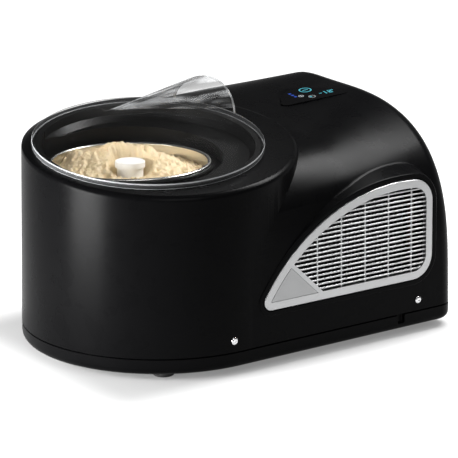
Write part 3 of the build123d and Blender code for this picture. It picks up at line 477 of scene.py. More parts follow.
# Each ring of the hood: its place along, its height at the middle, its rise towards the
# far flank, where its crest lies, and how square its near and far shoulders are.
hood_rings = (
    (tower_x, 0.2065, 0.150, 0.020, 4.4, 7.0),
    (tower_x + 0.142, 0.2157, 0.135, 0.020, 4.8, 7.0),
    (end_x + 0.012, 0.2383, -0.012, 0.068, 2.80, 4.2),
)
hood_foot = 0.055
shoulder_steps = 60
fall_r, fall_shift, fall_depth = 0.132, 0.0105, 0.009
fall_out, fall_drop, fall_clear = 0.030, 0.040, 0.020
arch_u, arch_v, arch_r = end_x - 0.076, -0.067, 0.207
arch_foot, arch_end, arch_tip, arch_corner = 0.034, end_x - 0.035, 0.009, 0.025
brow_proud, brow_lip, brow_depth = 0.0008, 0.006, 0.050
brow_flare = brow_depth * tan(radians(16.5))
brow_round, brow_fillet = 0.0012, 0.0016
crease_turn, crease_x, crease_y = radians(10), 0.050, 0.08
crease_least, crease_most = arch_r + 0.004, arch_r + 0.025
shell_base, core_base, base_clear = seam - 0.006, 0.005, 1e-4
lid_x = tower_x - 0.014
well_r, well_z, well_depth = 0.110, 0.233, 0.1
opening_gap, opening_cut = 0.0012, 0.006
drill_r, drill_depth = 0.0023, 0.012
inlet_place = (end_x - 0.0005, 0.040, 0.052)
inlet_size, inlet_round = (0.02, 0.028, 0.021), 0.002
satin_dark, satin_light = (0.0016, 0.0016, 0.0018), (0.0024, 0.0024, 0.0026)


def hood_ring(name, x, middle, rise, crest, near_curve, far_curve, inset, base):
    """Line round the hood at one place along it: a long near shoulder, a short far one."""
    def spot(side, turn):
        curve = near_curve if side < 0 else far_curve
        out, high = sin(turn) ** (2 / curve), cos(turn) ** (2 / curve)
        reach = flank - inset - side * crest
        y = crest + side * reach * out
        z = hood_foot + (middle + rise * y - inset - hood_foot) * high
        return Vector((x, y - side * slope * (z - seam) * out, z))

    turns = [pi / 2 * i / shoulder_steps for i in range(shoulder_steps + 1)]
    feet = [Vector((x, side * (flank - inset - slope * (base - seam)), base)) for side in (-1, 1)]
    pen = Pen(name, feet[0])
    for turn in reversed(turns):
        pen.line(spot(-1, turn))
    for turn in turns[1:]:
        pen.line(spot(1, turn))
    pen.line(feet[1])
    pen.line(feet[0])


def flank_spot(side, u, v, out):
    """Point on a flank: along it, up it from the seam and out from it."""
    y = flank - v * sin(draft) + out * cos(draft)
    return Vector((u, side * y, seam + v * cos(draft) + out * sin(draft)))


def flank_ways(side):
    """Directions up a flank and out from it."""
    return Vector((0, -side * sin(draft), cos(draft))), Vector((0, side * cos(draft), sin(draft)))


def outline(name, side, grow, out):
    """Arched line of a side opening, drawn larger or smaller all round."""
    big_r, foot_v, edge_u = arch_r + grow, arch_foot - grow, arch_end + grow
    tip, corner = arch_tip + grow, arch_corner + grow
    tip_u = arch_u - sqrt((big_r - tip) ** 2 - (foot_v + tip - arch_v) ** 2)
    top_v = arch_v + sqrt((big_r - corner) ** 2 - (edge_u - corner - arch_u) ** 2)
    rise = atan2(top_v - arch_v, edge_u - corner - arch_u)
    fall = atan2(foot_v + tip - arch_v, tip_u - arch_u)

    def spot(u, v, r, turn):
        return flank_spot(side, u + r * cos(turn), v + r * sin(turn), out)

    pen = Pen(name, flank_spot(side, tip_u, foot_v, out))
    for u, v, r, start, stop, steps in (
        (edge_u - corner, foot_v + corner, corner, -pi / 2, 0, 10),
        (edge_u - corner, top_v, corner, 0, rise, 8),
        (arch_u, arch_v, big_r, rise, fall, 44),
        (tip_u, foot_v + tip, tip, fall, 1.5 * pi, 10),
    ):
        pen.line(spot(u, v, r, start))
        pen.arc(spot(u, v, r, (start + stop) / 2), spot(u, v, r, stop), steps)


def lofted():
    """Bridges the two loops just drawn into a solid."""
    merge()
    bpy.ops.mesh.select_mode(type="EDGE")
    bpy.ops.mesh.select_all(action="SELECT")
    bpy.ops.mesh.bridge_edge_loops()
    bpy.ops.mesh.select_all(action="SELECT")
    bpy.ops.mesh.fill_holes(sides=0)
    merge()


def cut_off(place, way):
    """Cuts the open mesh off square to a way, and closes the cut."""
    bpy.ops.mesh.select_all(action="SELECT")
    bpy.ops.mesh.bisect(plane_co=place, plane_no=way, clear_outer=True, use_fill=True)
    merge()


def in_plane(points, place, way):
    """Whether points all lie in the plane through a place, square to a way."""
    return all(abs((p - place).dot(way)) < hair for p in points)


def round_rim(place, way, width, steps, above):
    """Rounds over the edges that lie in a cut, down to a height."""
    pick("EDGE", lambda edge, points: in_plane(points, place, way) and max(p.z for p in points) > above)
    bpy.ops.mesh.bevel(offset=width, segments=steps)


def in_crease(edge, points):
    """Whether an edge lies in the hollow corner where a brow meets the hood."""
    return edge.is_manifold and edge.calc_face_angle_signed() < -crease_turn and all(
        p.x > crease_x
        and abs(p.y) > crease_y
        and crease_least < sqrt((p.x - arch_u) ** 2 + (p.z - seam - arch_v) ** 2) < crease_most
        for p in points
    )


def shell_form(inset, base):
    """Hood, tower and both brows in one solid, drawn in by a wall."""
    for ring in hood_rings:
        hood_ring("hood", *ring, inset, base)
    lofted()
    end_wall = Vector((end_x - inset, 0, seam))
    end_way = Vector((cos(draft), 0, sin(draft)))
    cut_off(end_wall, end_way)
    round_rim(end_wall, end_way, end_round - inset, steps=8, above=base + base_clear)
    hood = close()
    height = tower_blank - base
    foot_radius = tower_r - inset - slope * (base - seam)
    bpy.ops.mesh.primitive_cone_add(
        vertices=tower_sides, radius1=foot_radius, radius2=foot_radius - slope * height, depth=height
    )
    open_mesh()
    bpy.ops.transform.translate(value=(tower_x, 0, base + height / 2))
    ledge = Vector((tower_x, 0, ledge_z)) - ledge_lean * inset
    cut_off(ledge, ledge_lean)
    round_rim(ledge, ledge_lean, ledge_round, steps=5, above=base + base_clear)
    tower = close()
    fall_seat = Matrix.Translation(ledge - ledge_back * fall_shift) @ ledge_turn
    fall = turned(
        "back_fall",
        [
            (fall_r, 0, 0, 0),
            (fall_r + fall_shift, -0.28 * fall_depth, 0.030, 5),
            (fall_r + 2 * fall_shift, -fall_depth, 0.010, 5),
            (fall_r + fall_out, -fall_drop, 0, 0),
            (fall_r + 2 * fall_out, -fall_drop, 0, 0),
            (fall_r + 2 * fall_out, fall_clear, 0, 0),
            (fall_r, fall_clear, 0, 0),
        ],
        steps=192,
        set_up=fall_seat,
    )
    combine(tower, fall, "DIFFERENCE")
    combine(hood, tower, "UNION")
    for side in (-1, 1):
        front = brow_proud - inset
        outline("brow", side, brow_lip - inset, front)
        outline("brow", side, brow_lip - inset + brow_flare, front - brow_depth)
        lofted()
        face, out_way = flank_spot(side, 0, 0, front), flank_ways(side)[1]
        pick("EDGE", lambda edge, points: in_plane(points, face, out_way))
        bpy.ops.mesh.bevel(offset=brow_round, segments=3)
        combine(hood, close(), "UNION")
    if inset == 0:
        open_mesh()
        pick("EDGE", in_crease)
        bpy.ops.mesh.bevel(offset=brow_fillet, segments=4)
        close()
    return hood


housing = shell_form(0, shell_base)
housing.name = "housing"
bpy.context.view_layer.objects.active = housing
open_mesh()
cut_off(Vector((0, 0, seam)), Vector((0, 0, -1)))
close()
combine(housing, shell_form(wall, core_base), "DIFFERENCE")
bpy.ops.mesh.primitive_cylinder_add(vertices=160, radius=well_r, depth=well_depth)
open_mesh()
bpy.ops.transform.translate(value=(lid_x, 0, well_z))
combine(housing, close(), "DIFFERENCE")
for side in (-1, 1):
    for out in (opening_cut, -opening_cut):
        outline("side_opening", side, opening_gap, out)
    lofted()
    combine(housing, close(), "DIFFERENCE")
    for u in screw_u:
        middle = flank_spot(side, u, screw_v, 0)
        bpy.ops.mesh.primitive_cylinder_add(
            vertices=24, radius=drill_r, depth=drill_depth, rotation=(pi / 2, 0, 0)
        )
        bpy.ops.object.transform_apply(rotation=True)
        open_mesh()
        bpy.ops.transform.translate(value=middle)
        combine(housing, close(), "DIFFERENCE")
combine(housing, block("inlet_hole", inlet_place, inlet_size, inlet_round), "DIFFERENCE")

# The display's opening in the hood: a leaf, sunk to the window under it and scooped
# out along its back so that the window can be read from in front.
hood_rise_x, hood_rise_y = 0.113, 0.0825
leaf_foot = Vector((tower_x, 0, 0.2020))
hood_lean = Vector((-hood_rise_x, -hood_rise_y, 1)).normalized()
hood_along = Vector((1, 0, hood_rise_x)).normalized()
hood_across = hood_lean.cross(hood_along)
leaf_middle = Vector((0.2045, 0.0235))
window_size, window_cut, window_depth = 0.955, 0.012, 0.0024
scoop_size, scoop_rise, scoop_move = 1.30, 0.0022, (-0.0060, 0.0085)


def leaf(name, size, depth, move=(0, 0)):
    """Leaf-shaped line on the hood's top, scaled about its middle, sunk and moved."""
    def spot(u, v):
        at = leaf_middle + (Vector((u, v)) - leaf_middle) * size + Vector(move)
        return leaf_foot + hood_along * at.x + hood_across * at.y - hood_lean * depth

    pen = Pen(name, spot(0.1705, 0.0102))
    pen.line(spot(0.2425, -0.0011))
    pen.arc(spot(0.2437, -0.0008), spot(0.2430, 0.0003), 4)
    pen.arc(spot(0.2325, 0.0315), spot(0.2020, 0.0494), 18)
    pen.arc(spot(0.1850, 0.0425), spot(0.1695, 0.0230), 16)
    pen.arc(spot(0.1655, 0.0145), spot(0.1705, 0.0102), 8)


def leaf_solid(name, low, high):
    """A solid between two leaves, each given as its size, its depth and its move, if any."""
    leaf(name, *low)
    leaf(name, *high)
    lofted()
    return close()


hole = leaf_solid("window_hole", (window_size, window_cut), (window_size, -window_cut))
combine(housing, hole, "DIFFERENCE")
scoop = leaf_solid("window_scoop", (window_size, window_depth), (scoop_size, -scoop_rise, scoop_move))
combine(housing, scoop, "DIFFERENCE")
smooth(housing, angle=32)
satin = moulded(
    "satin_black", satin_dark, satin_light, rough=0.28, depth=0.000012, Specular_IOR_Level=0.035
)
fit(housing, satin, "housing", "black_shell", "housing_shell")

# Side screws: four button heads in bright steel, driven through the flanks into the
# tray's posts. Turned heads with a hexagon socket.
head_r, head_flat, head_height, head_lift = 0.0038, 0.0024, 0.0020, 0.0002
shank_r, shank_depth = 0.0020, 0.012
socket_r, socket_depth = 0.0017, 0.0011
screws = []
for side in (-1, 1):
    for u in screw_u:
        turn = Matrix.Rotation(-side * (pi / 2 - draft), 4, "X")
        seat = Matrix.Translation(flank_spot(side, u, screw_v, 0)) @ turn
        screw = turned(
            "screw",
            [
                (0, -shank_depth, 0, 0),
                (shank_r, -shank_depth, 0.0004, 2),
                (shank_r, head_lift, 0, 0),
                (head_r, head_lift, 0.0003, 2),
                (head_r, head_height / 2, 0.0005, 2),
                (head_flat, head_height, 0.0009, 4),
                (0, head_height, 0, 0),
            ],
            steps=48,
            set_up=seat,
        )
        bpy.ops.mesh.primitive_cylinder_add(vertices=6, radius=socket_r, depth=2 * socket_depth)
        bpy.context.object.data.transform(seat @ Matrix.Translation((0, 0, head_height)))
        combine(screw, bpy.context.object, "DIFFERENCE")
        screws.append(screw)
screws = joined("screw_heads", screws)
smooth(screws, angle=30)
bright = metal("bright_steel", (0.70, 0.70, 0.71), (0.84, 0.84, 0.85), rough=0.16)
fit(screws, bright, "housing", "bright_screw", "side_screws")

# Side grilles: a broad frame round a field of level slats, moulded in one piece,
# sprayed silver and clipped into the flank behind a thin rim.
silver = metal("silver_spray", (0.47, 0.474, 0.478), (0.53, 0.534, 0.538), rough=0.42, grain=1500.0)
grille_front, grille_back, grille_round = 0.0014, -0.0042, 0.0010
band, bar_lap, bar_round = 0.0085, 0.0010, 0.0005
field_cut = (0.02, -0.02)
slat_rows, slat_u, slat_mid, slat_pitch = 19, 0.075, 0.087, 0.0046
slat_length, slat_height, slat_depth, slat_recess = 0.32, 0.0016, 0.0022, 0.0010
uprights, upright_mid, upright_v, upright_pitch = 5, 0.0866, 0.09, 0.0303
upright_width, upright_length, upright_depth = 0.0014, 0.2, 0.0017
slant = radians(47)
slant_u, slant_v = 0.04096, 0.034
plate_edge, plate_inset, plate_depth, plate_clear = 0.0064, 0.0080, 0.0010, 0.002


def slanted(name, side, grow, outs, foot_u, keep):
    """The opening's outline as a solid, cut off along the slant, keeping one part of it."""
    for out in outs:
        outline(name, side, grow, out)
    lofted()
    away = Vector((cos(slant), 0, 0)) + flank_ways(side)[0] * sin(slant)
    cut_off(flank_spot(side, foot_u, slant_v, 0), -keep * away)
    return close()


def bars(name, side, places, size, field):
    """A row of rounded bars on a flank, trimmed to the open field."""
    row = joined(name, [block(name, place, size, bar_round) for place in places])
    turn = Matrix((Vector((1, 0, 0)), *flank_ways(side))).transposed().to_4x4()
    row.data.transform(Matrix.Translation(flank_spot(side, 0, 0, 0)) @ turn)
    open_mesh()
    merge()
    close()
    combine(row, field, "INTERSECT")
    return row


def spaced(count, middle, pitch):
    """Places at an even pitch, on both sides of a middle."""
    return [middle + (i - (count - 1) / 2) * pitch for i in range(count)]


for side, name in ((-1, "grille_near"), (1, "grille_far")):
    for out in (grille_front, grille_back):
        outline("silver_" + name, side, 0, out)
    lofted()
    face, out_way = flank_spot(side, 0, 0, grille_front), flank_ways(side)[1]
    pick("EDGE", lambda edge, points: in_plane(points, face, out_way))
    bpy.ops.mesh.bevel(offset=grille_round, segments=3)
    grille = close()
    combine(grille, slanted("field", side, -band, field_cut, slant_u, 1), "DIFFERENCE")
    if side < 0:
        recess_cut = (grille_front + plate_clear, grille_front - plate_depth)
        recess = slanted("recess", side, -plate_inset, recess_cut, slant_u - plate_edge, -1)
        combine(grille, recess, "DIFFERENCE")
    slat_out = grille_front - slat_recess - slat_depth / 2
    rows = [(slat_u, v, slat_out) for v in spaced(slat_rows, slat_mid, slat_pitch)]
    upright_out = grille_front - slat_recess - slat_depth + upright_depth / 2
    columns = [(u, upright_v, upright_out) for u in spaced(uprights, upright_mid, upright_pitch)]
    for kind, places, size in (
        ("slats", rows, (slat_length, slat_height, slat_depth)),
        ("uprights", columns, (upright_width, upright_length, upright_depth)),
    ):
        field = slanted("field", side, -band + bar_lap, field_cut, slant_u - bar_lap, 1)
        combine(grille, bars(kind, side, places, size, field), "UNION")
    smooth(grille, angle=30)
    fit(grille, silver, "housing", "silver_grille", name)

# Bare plate: a three-cornered piece of thin satin sheet let into the tip of the near
# grille. Stamped to shape, brushed along its length and glued into its recess.
sheet = metal(
    "bare_sheet", (0.35, 0.353, 0.356), (0.40, 0.403, 0.406), rough=0.42, grain=700.0, stretch=(0.05, 1, 1)
)
dress(sheet, "badge_plate")

# Display window: a leaf of dark glass against the underside of the hood, with a raised
# lens that fills the opening and the lit figures of the panel showing through it.
glass_size, glass_top, glass_back = 1.0, 0.0031, 0.0050
lens_size, lens_top, lens_back = 0.948, 0.0009, 0.0040
glass = leaf_solid("display_glass", (glass_size, glass_top), (glass_size, glass_back))
combine(glass, leaf_solid("lens", (lens_size, lens_top), (lens_size, lens_back)), "UNION")
smooth(glass)
dark, at = new_material("dark_glass")
from_foot = at.node("ShaderNodeVectorMath", {"operation": "SUBTRACT"}, {0: at, 1: leaf_foot})
read_turn = radians(-9)
reading = hood_along * cos(read_turn) + hood_across * sin(read_turn)
rising = hood_across * cos(read_turn) - hood_along * sin(read_turn)


def measured(way):
    """Distance along the panel, one way."""
    return at.node("ShaderNodeVectorMath", {"operation": "DOT_PRODUCT"}, {0: from_foot, 1: way}, 1)


across_panel, up_panel = measured(reading), measured(rising)


def panel_place(u, v):
    """A place on the panel, turned to the way that it is read."""
    return u * cos(read_turn) + v * sin(read_turn), v * cos(read_turn) - u * sin(read_turn)


def lamp_bar(u, v, width, height):
    """A lit bar on the panel."""
    p, q = panel_place(u, v)
    aside = at.node("ShaderNodeMath", {"operation": "ABSOLUTE"}, {0: across_panel - p})
    above = at.node("ShaderNodeMath", {"operation": "ABSOLUTE"}, {0: up_panel - q})
    return (aside < width / 2) * (above < height / 2)


def lamp_ring(u, v, outer, inner):
    """A lit ring on the panel, or a dot where it has no hole."""
    p, q = panel_place(u, v)
    aside, above = across_panel - p, up_panel - q
    spread = aside * aside + above * above
    return (spread < outer ** 2) * (spread > inner ** 2)


def lit(*lamps):
    """Several lit shapes as one."""
    whole = lamps[0]
    for lamp in lamps[1:]:
        whole = whole.sum("MAXIMUM", whole, lamp)
    return whole


figure_u, figure_v, figure_step, figure_height = 0.2190, 0.0175, 0.0056, 0.0078
sign_size, stroke = (0.0034, 0.0013), 0.0014
one_place = (figure_u + figure_step, figure_v - 0.0009)
eight_u, eight_v, eight_width = figure_u + 2 * figure_step, figure_v - 0.0017, 0.0040
hole_size, hole_lift = (0.0019, 0.0022), 0.0018
degree_place, degree_rings = (figure_u + 2.75 * figure_step, figure_v + 0.0006), (0.0014, 0.0006)
large_key, large_rings, large_bar = (0.2133, 0.0370), (0.0070, 0.0056), (0.0064, 0.0014)
small_key, small_rings, small_bar = (0.1982, 0.0245), (0.0030, 0.0021), (0.0010, 0.0042)
dot_place, dot_rings = (0.2048, 0.0160), (0.0014, 0)
collar_place, collar_rings = (0.2062, 0.0158), (0.0038, 0.0031)
level_u, level_v, level_lean, level_step, level_size = 0.1929, 0.0324, 0.0004, 0.0055, (0.0030, 0.0034)
unlit, cyan_light, pale_light = (0, 0, 0, 1), (0.10, 0.52, 0.62, 1), (0.50, 0.54, 0.56, 1)
blue_light = (0.03, 0.08, 0.42, 1)
eight = lamp_bar(eight_u, eight_v, eight_width, figure_height)
for lift in (-hole_lift, hole_lift):
    eight = eight * (1 - lamp_bar(eight_u, eight_v + lift, *hole_size))
cyan = lit(
    lamp_ring(*large_key, *large_rings),
    lamp_bar(*large_key, *large_bar),
    lamp_bar(figure_u, figure_v, *sign_size),
    lamp_bar(*one_place, stroke, figure_height),
    eight,
    lamp_ring(*degree_place, *degree_rings),
    lamp_ring(*dot_place, *dot_rings),
)
pale = lit(
    lamp_ring(*small_key, *small_rings),
    lamp_bar(*small_key, *small_bar),
    lamp_ring(*collar_place, *collar_rings),
)
blue = lit(
    *[lamp_bar(level_u + i * level_lean, level_v + i * level_step, *level_size) for i in (-1, 0, 1)]
)
glow = mix(cyan, unlit, cyan_light)
glow = mix(pale, glow, pale_light)
glow = mix(blue, glow, blue_light)
shade(
    at,
    Base_Color=(0.002, 0.002, 0.0022, 1),
    Roughness=0.07 + cloud(at, 90.0) * 0.05,
    Specular_IOR_Level=0.08,
    Emission_Color=glow,
    Emission_Strength=1.0,
)
fit(glass, dark, "housing", "dark_glass", "display_window")

# Well liner: the dished black moulding under the lid, hung on the ledge by its
# flange, with a collar that holds the cold can.
liner = moulded(
    "liner_black", (0.003, 0.003, 0.003), (0.0045, 0.0045, 0.0045), rough=0.32, Specular_IOR_Level=0.09
)
dress(liner, "well_liner")

# Bowl: a deep cup drawn from stainless sheet, its rim rolled outwards and a tube
# up its middle for the shaft. Polished inside.
bowl_x = tower_x - 0.036
bowl_seat = Matrix.Translation((bowl_x, 0, 0))
bowl_r, bowl_inner, rim_r = 0.0782, 0.0772, 0.0810
bowl_foot, bowl_floor, rim_foot, rim_top = 0.0868, 0.0878, 0.1893, 0.1928
tube_inner, tube_r, tube_top = 0.0085, 0.0100, 0.1388
bowl = turned(
    "polished_bowl",
    [
        (tube_inner, bowl_foot, 0, 0),
        (bowl_r, bowl_foot, 0.010, 8),
        (bowl_r, rim_foot, 0.0008, 2),
        (rim_r, rim_foot, 0.0012, 4),
        (rim_r, rim_top, 0.0016, 5),
        (bowl_inner, rim_top, 0.0016, 5),
        (bowl_inner, bowl_floor, 0.009, 8),
        (tube_r, bowl_floor, 0.0015, 3),
        (tube_r, tube_top, 0.0005, 2),
        (tube_inner, tube_top, 0.0005, 2),
    ],
    steps=144,
    set_up=bowl_seat,
)
smooth(bowl)
steel_dull, steel_bright = (0.66, 0.65, 0.62), (0.76, 0.75, 0.72)
steel = metal(
    "stainless", steel_dull, steel_bright, rough=0.24, grain=260.0, stretch=(1, 1, 0.06), Anisotropic=0.7
)
fit(bowl, steel, "bowl", "polished_bowl", "bowl")

# Paddle: a white moulding that sits on the shaft and turns in the bowl, in a smooth
# food plastic, with a round cap of the same plastic pushed over its hub.
white = moulded("white_paddle", (0.80, 0.80, 0.78), (0.86, 0.86, 0.84), rough=0.4)
dress(white, "paddle", "shaft_bush")
peg_r, peg_foot, cap_under = 0.0040, 0.1748, 0.1835
skirt_inner, skirt_r, skirt_foot = 0.0128, 0.0132, 0.1720
cap_r, cap_step, cap_top = 0.0150, 0.1858, 0.1922
dish_edge, dish_r, dish_floor = 0.0128, 0.0124, 0.1917
cap = turned(
    "hub_cap",
    [
        (0, peg_foot, 0, 0),
        (peg_r, peg_foot, 0.0008, 2),
        (peg_r, cap_under, 0, 0),
        (skirt_inner, cap_under, 0, 0),
        (skirt_inner, skirt_foot, 0, 0),
        (skirt_r, skirt_foot, 0.0002, 2),
        (skirt_r, cap_step, 0.0002, 1),
        (cap_r, cap_step, 0.0004, 3),
        (cap_r, cap_top, 0.0011, 5),
        (dish_edge, cap_top, 0.0004, 2),
        (dish_r, dish_floor, 0.0004, 2),
        (0, dish_floor, 0, 0),
    ],
    steps=80,
    set_up=bowl_seat,
)
smooth(cap)
fit(cap, white, "paddle", "white_paddle", "paddle_cap")

# Gelato: the frozen batch, heaped up by the paddle behind its hub and drawn into
# soft torn ridges. It turns with the paddle.
heap_r = 0.0766
heap_turn = radians(35.57)
heap_level, heap_lift, heap_tilt = 0.1765, 0.004, 0.002
lift_from, lift_over = 0.010, 0.040
heap_under, heap_belly = 0.150, 0.010
ridge_t, ridge_near, ridge_far = 0.022, 0.030, 0.026
ridge = [(-0.078, 0.180), (-0.068, 0.187), (-0.056, 0.1965), (-0.033, 0.2010), (-0.010, 0.2075),
         (0.002, 0.2050), (0.016, 0.2015), (0.030, 0.1955), (0.042, 0.1900), (0.053, 0.1850), (0.078, 0.178)]
hollow_floor, hollow_r, hollow_slope, hollow_sway = 0.1750, 0.0150, 0.011, 0.004
fold_height, tear_depth, crumb_height, crumb_scale = 0.0030, 0.0044, 0.0018, 420.0
cream_dark, cream_light = (0.66, 0.51, 0.30, 1), (0.80, 0.66, 0.43, 1)


def held(share):
    """A share kept between nothing and all."""
    return min(1.0, max(0.0, share))


def eased(share):
    """A share that starts and ends gently."""
    return held(share) ** 2 * (3 - 2 * held(share))


def ridge_top(s):
    """Height of the heap's ridge, from its left end to its right."""
    for (s0, z0), (s1, z1) in zip(ridge, ridge[1:]):
        if s <= s1:
            return z0 + (z1 - z0) * eased((s - s0) / (s1 - s0))
    return ridge[-1][1]


def heap_top(x, y):
    """Height of the heap over a point of the bowl."""
    s = x * cos(heap_turn) - y * sin(heap_turn)
    t = x * sin(heap_turn) + y * cos(heap_turn)
    level = heap_level + heap_lift * held((t + lift_from) / lift_over) - heap_tilt * s / heap_r
    fall = (t - ridge_t) / (ridge_near if t < ridge_t else ridge_far)
    z = level + (ridge_top(s) - level) / (1 + fall * fall * (1 + 0.5 * fall * fall))
    folds = noise.fractal(Vector((s * 62, t * 40, 3.1)), 1.0, 2.2, 3)
    torn = abs(noise.fractal(Vector((s * 130 + t * 80, t * 120 - s * 50, 5.3)), 0.9, 2.0, 3))
    crumbs = noise.fractal(Vector((x * crumb_scale, y * crumb_scale, 7.7)), 0.8, 2.1, 4)
    z += fold_height * folds - tear_depth * torn + crumb_height * crumbs
    from_hub = sqrt(x * x + y * y) - hollow_r - hollow_sway * folds
    return hollow_floor + (z - hollow_floor) * eased(from_hub / hollow_slope)


bpy.ops.mesh.primitive_uv_sphere_add(segments=224, ring_count=128, radius=heap_r)
gelato = bpy.context.object
gelato.name = "gelato"
for point in gelato.data.vertices:
    x, y, z = point.co
    height = heap_top(x, y) if z > -merge_gap / 2 else heap_under + heap_belly * (1 + z / heap_r)
    point.co = (bowl_x + x, y, height)
smooth(gelato, angle=60)
cream, at = new_material("gelato_cream")
crumb = cloud(at, crumb_scale, detail=5.0)
shade(
    at,
    Base_Color=mix(cloud(at, 120.0, detail=4.0), cream_dark, cream_light),
    Roughness=0.55 + (crumb - 0.5) * 0.3,
    Normal=bump(at, crumb, depth=0.0012, strength=0.6),
    Subsurface_Weight=0.15,
    Subsurface_Radius=(0.006, 0.004, 0.002),
)
gelato.data.materials.append(cream)
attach(gelato, "paddle")

# Lid: clear moulded dome with a deep rim that sits round the well, and a flared
# horn run out over the rim for the fingers.
lid_z, lid_r, lid_wall = 0.20609, 0.1165, 0.0024
lid_seat = Matrix.Translation((lid_x, 0, lid_z)) @ ledge_turn
dome_top, dome_flat, dome_bend, dome_edge = 0.0155, 0.0466, 0.10, 0.0065
dome_under, dome_core, lid_steps = 0.0131, 0.0143, 160
rim_width, lid_foot, rim_under = 0.0026, 0.0003, 0.0041
core_r, core_edge, core_deep = lid_r + 0.02, 0.0027, -0.1
horn_apex = Vector((-0.0080, 0.0720, 0.0114))
horn_heading = radians(-10.5)
horn_dip = radians(2.8)
horn_spread = radians(15.4)
horn_length, horn_short, horn_sides = 0.135, 0.0003, 72
trim_height = 0.4
lid = turned(
    "clear_lid",
    [
        (0, dome_top, 0, 0),
        (dome_flat, dome_top, dome_bend, 8),
        (lid_r, dome_edge, 0.0018, 4),
        (lid_r, lid_foot, 0.0008, 2),
        (lid_r - rim_width, lid_foot, 0.0008, 2),
        (lid_r - rim_width, rim_under, 0.0010, 2),
        (dome_flat, dome_under, dome_bend, 8),
        (0, dome_under, 0, 0),
    ],
    steps=lid_steps,
    set_up=lid_seat,
)
core = turned(
    "core",
    [
        (0, dome_core, 0, 0),
        (dome_flat, dome_core, dome_bend, 8),
        (core_r, core_edge, 0, 0),
        (core_r, core_deep, 0, 0),
        (0, core_deep, 0, 0),
    ],
    steps=lid_steps,
    set_up=lid_seat,
)


def horn_cone(setback):
    """A solid cone along the horn, its point set back along it."""
    radius = horn_length * tan(horn_spread)
    bpy.ops.mesh.primitive_cone_add(vertices=horn_sides, radius1=0, radius2=radius, depth=horn_length)
    way = Matrix.Rotation(horn_heading, 4, "Z") @ Matrix.Rotation(pi / 2 + horn_dip, 4, "Y")
    along = Matrix.Translation(way.to_3x3() @ Vector((0, 0, setback + horn_length / 2)))
    bpy.context.object.data.transform(lid_seat @ Matrix.Translation(horn_apex) @ along @ way)
    return bpy.context.object


horn = horn_cone(0)
combine(horn, horn_cone(lid_wall / sin(horn_spread)), "DIFFERENCE")
bpy.ops.mesh.primitive_cylinder_add(vertices=lid_steps, radius=lid_r - horn_short, depth=trim_height)
bpy.context.object.data.transform(lid_seat)
combine(horn, bpy.context.object, "INTERSECT")
combine(horn, core, "DIFFERENCE")
combine(lid, horn, "UNION")
smooth(lid, angle=30)


def ramped(value, start, stop, low=0.0, high=1.0, curve="SMOOTHSTEP"):
    """Runs from low to high while a value runs from a start to a stop."""
    ends = {0: value, 1: start, 2: stop, 3: low, 4: high}
    return value.node("ShaderNodeMapRange", {"interpolation_type": curve}, ends)


def grazed(at, bend):
    """Nothing face on and all at a grazing angle, the later for a higher bend."""
    grazing = at.node("ShaderNodeLayerWeight", {}, {"Blend": 0.5}, 1)
    return grazing.sum("POWER", grazing, bend)


def clear_moulding(name, colour, least, most, bend):
    """Clear plastic: see-through face on, and filling up towards its edges."""
    made, at = new_material(name)
    shade(
        at,
        Base_Color=(*colour, 1),
        Roughness=0.04 + cloud(at, 55.0) * 0.03,
        Alpha=least + most * grazed(at, bend),
        Normal=bump(at, cloud(at, 70.0, detail=1.0), depth=0.0001, strength=0.1),
    )
    return made


clear = clear_moulding("clear_moulding", (0.03, 0.03, 0.03), least=0.012, most=0.80, bend=6.0)
fit(lid, clear, "lid", "clear_lid", "lid")
# Light grey, half-opaque faces at the top and foot of the rim's outside: a painted highlight for the bright
# lines along the clear rim.
rim_highlight_paint, at = new_material("painted_rim_highlight")
shade(
    at,
    Base_Color=mix(cloud(at, 90.0), (0.36, 0.37, 0.38, 1), (0.56, 0.57, 0.58, 1)),
    Roughness=0.15 + cloud(at, 55.0) * 0.05,
    Alpha=0.50 + cloud(at, 60.0) * 0.2,
)
lid.data.materials.append(rim_highlight_paint)
rim_clear = clear_moulding("clear_rim", (0.10, 0.103, 0.106), least=0.22, most=0.74, bend=1.4)
lid.data.materials.append(rim_clear)
horn_clear, at = new_material("clear_horn")
# Long light and dark streaks down the horn, in colour and opacity: painted reflections of its curved clear
# wall.
drawn = at.node(
    "ShaderNodeMapping",
    {"vector_type": "TEXTURE"},
    {"Vector": at, "Rotation": (0, 0, horn_heading), "Scale": (0.40, 0.0060, 0.0060)},
)
painted_reflection_streak = at.node("ShaderNodeTexNoise", {}, {"Vector": drawn, "Scale": 1.0, "Detail": 0.0})
painted_reflection_streak = ramped(painted_reflection_streak, 0.42, 0.66)
shade(
    at,
    Base_Color=mix(painted_reflection_streak, (0.03, 0.03, 0.03, 1), (0.48, 0.49, 0.50, 1)),
    Roughness=0.05 + painted_reflection_streak * 0.05,
    Alpha=0.28 - painted_reflection_streak * 0.06 + 0.60 * grazed(at, bend=1.6),
)
lid.data.materials.append(horn_clear)
painted_highlight_index, rim_finish, horn_finish = 1, 2, 3
rim_skin, edge_above, edge_below, horn_clear_of = 0.0009, 0.0046, 0.0013, 0.0010
from_seat = lid_seat.inverted()
# Faces near the top and foot of the rim's outside get the painted highlight, the rest of its outside the
# clear grey rim, and faces above the dome the horn's material.
for face in lid.data.polygons:
    spots = [from_seat @ lid.data.vertices[i].co for i in face.vertices]
    outer = min(spot.to_2d().length for spot in spots) > lid_r - rim_skin
    low, high = min(spot.z for spot in spots), max(spot.z for spot in spots)
    middle = sum(spots, Vector()) / len(spots)
    fallen = max(0.0, (middle.to_2d().length - dome_flat) / (lid_r - dome_flat))
    dome = dome_top - (dome_top - dome_edge) * fallen
    if outer and (low > edge_above or high < edge_below):
        face.material_index = painted_highlight_index
    elif outer:
        face.material_index = rim_finish
    elif middle.z > dome + horn_clear_of:
        face.material_index = horn_finish

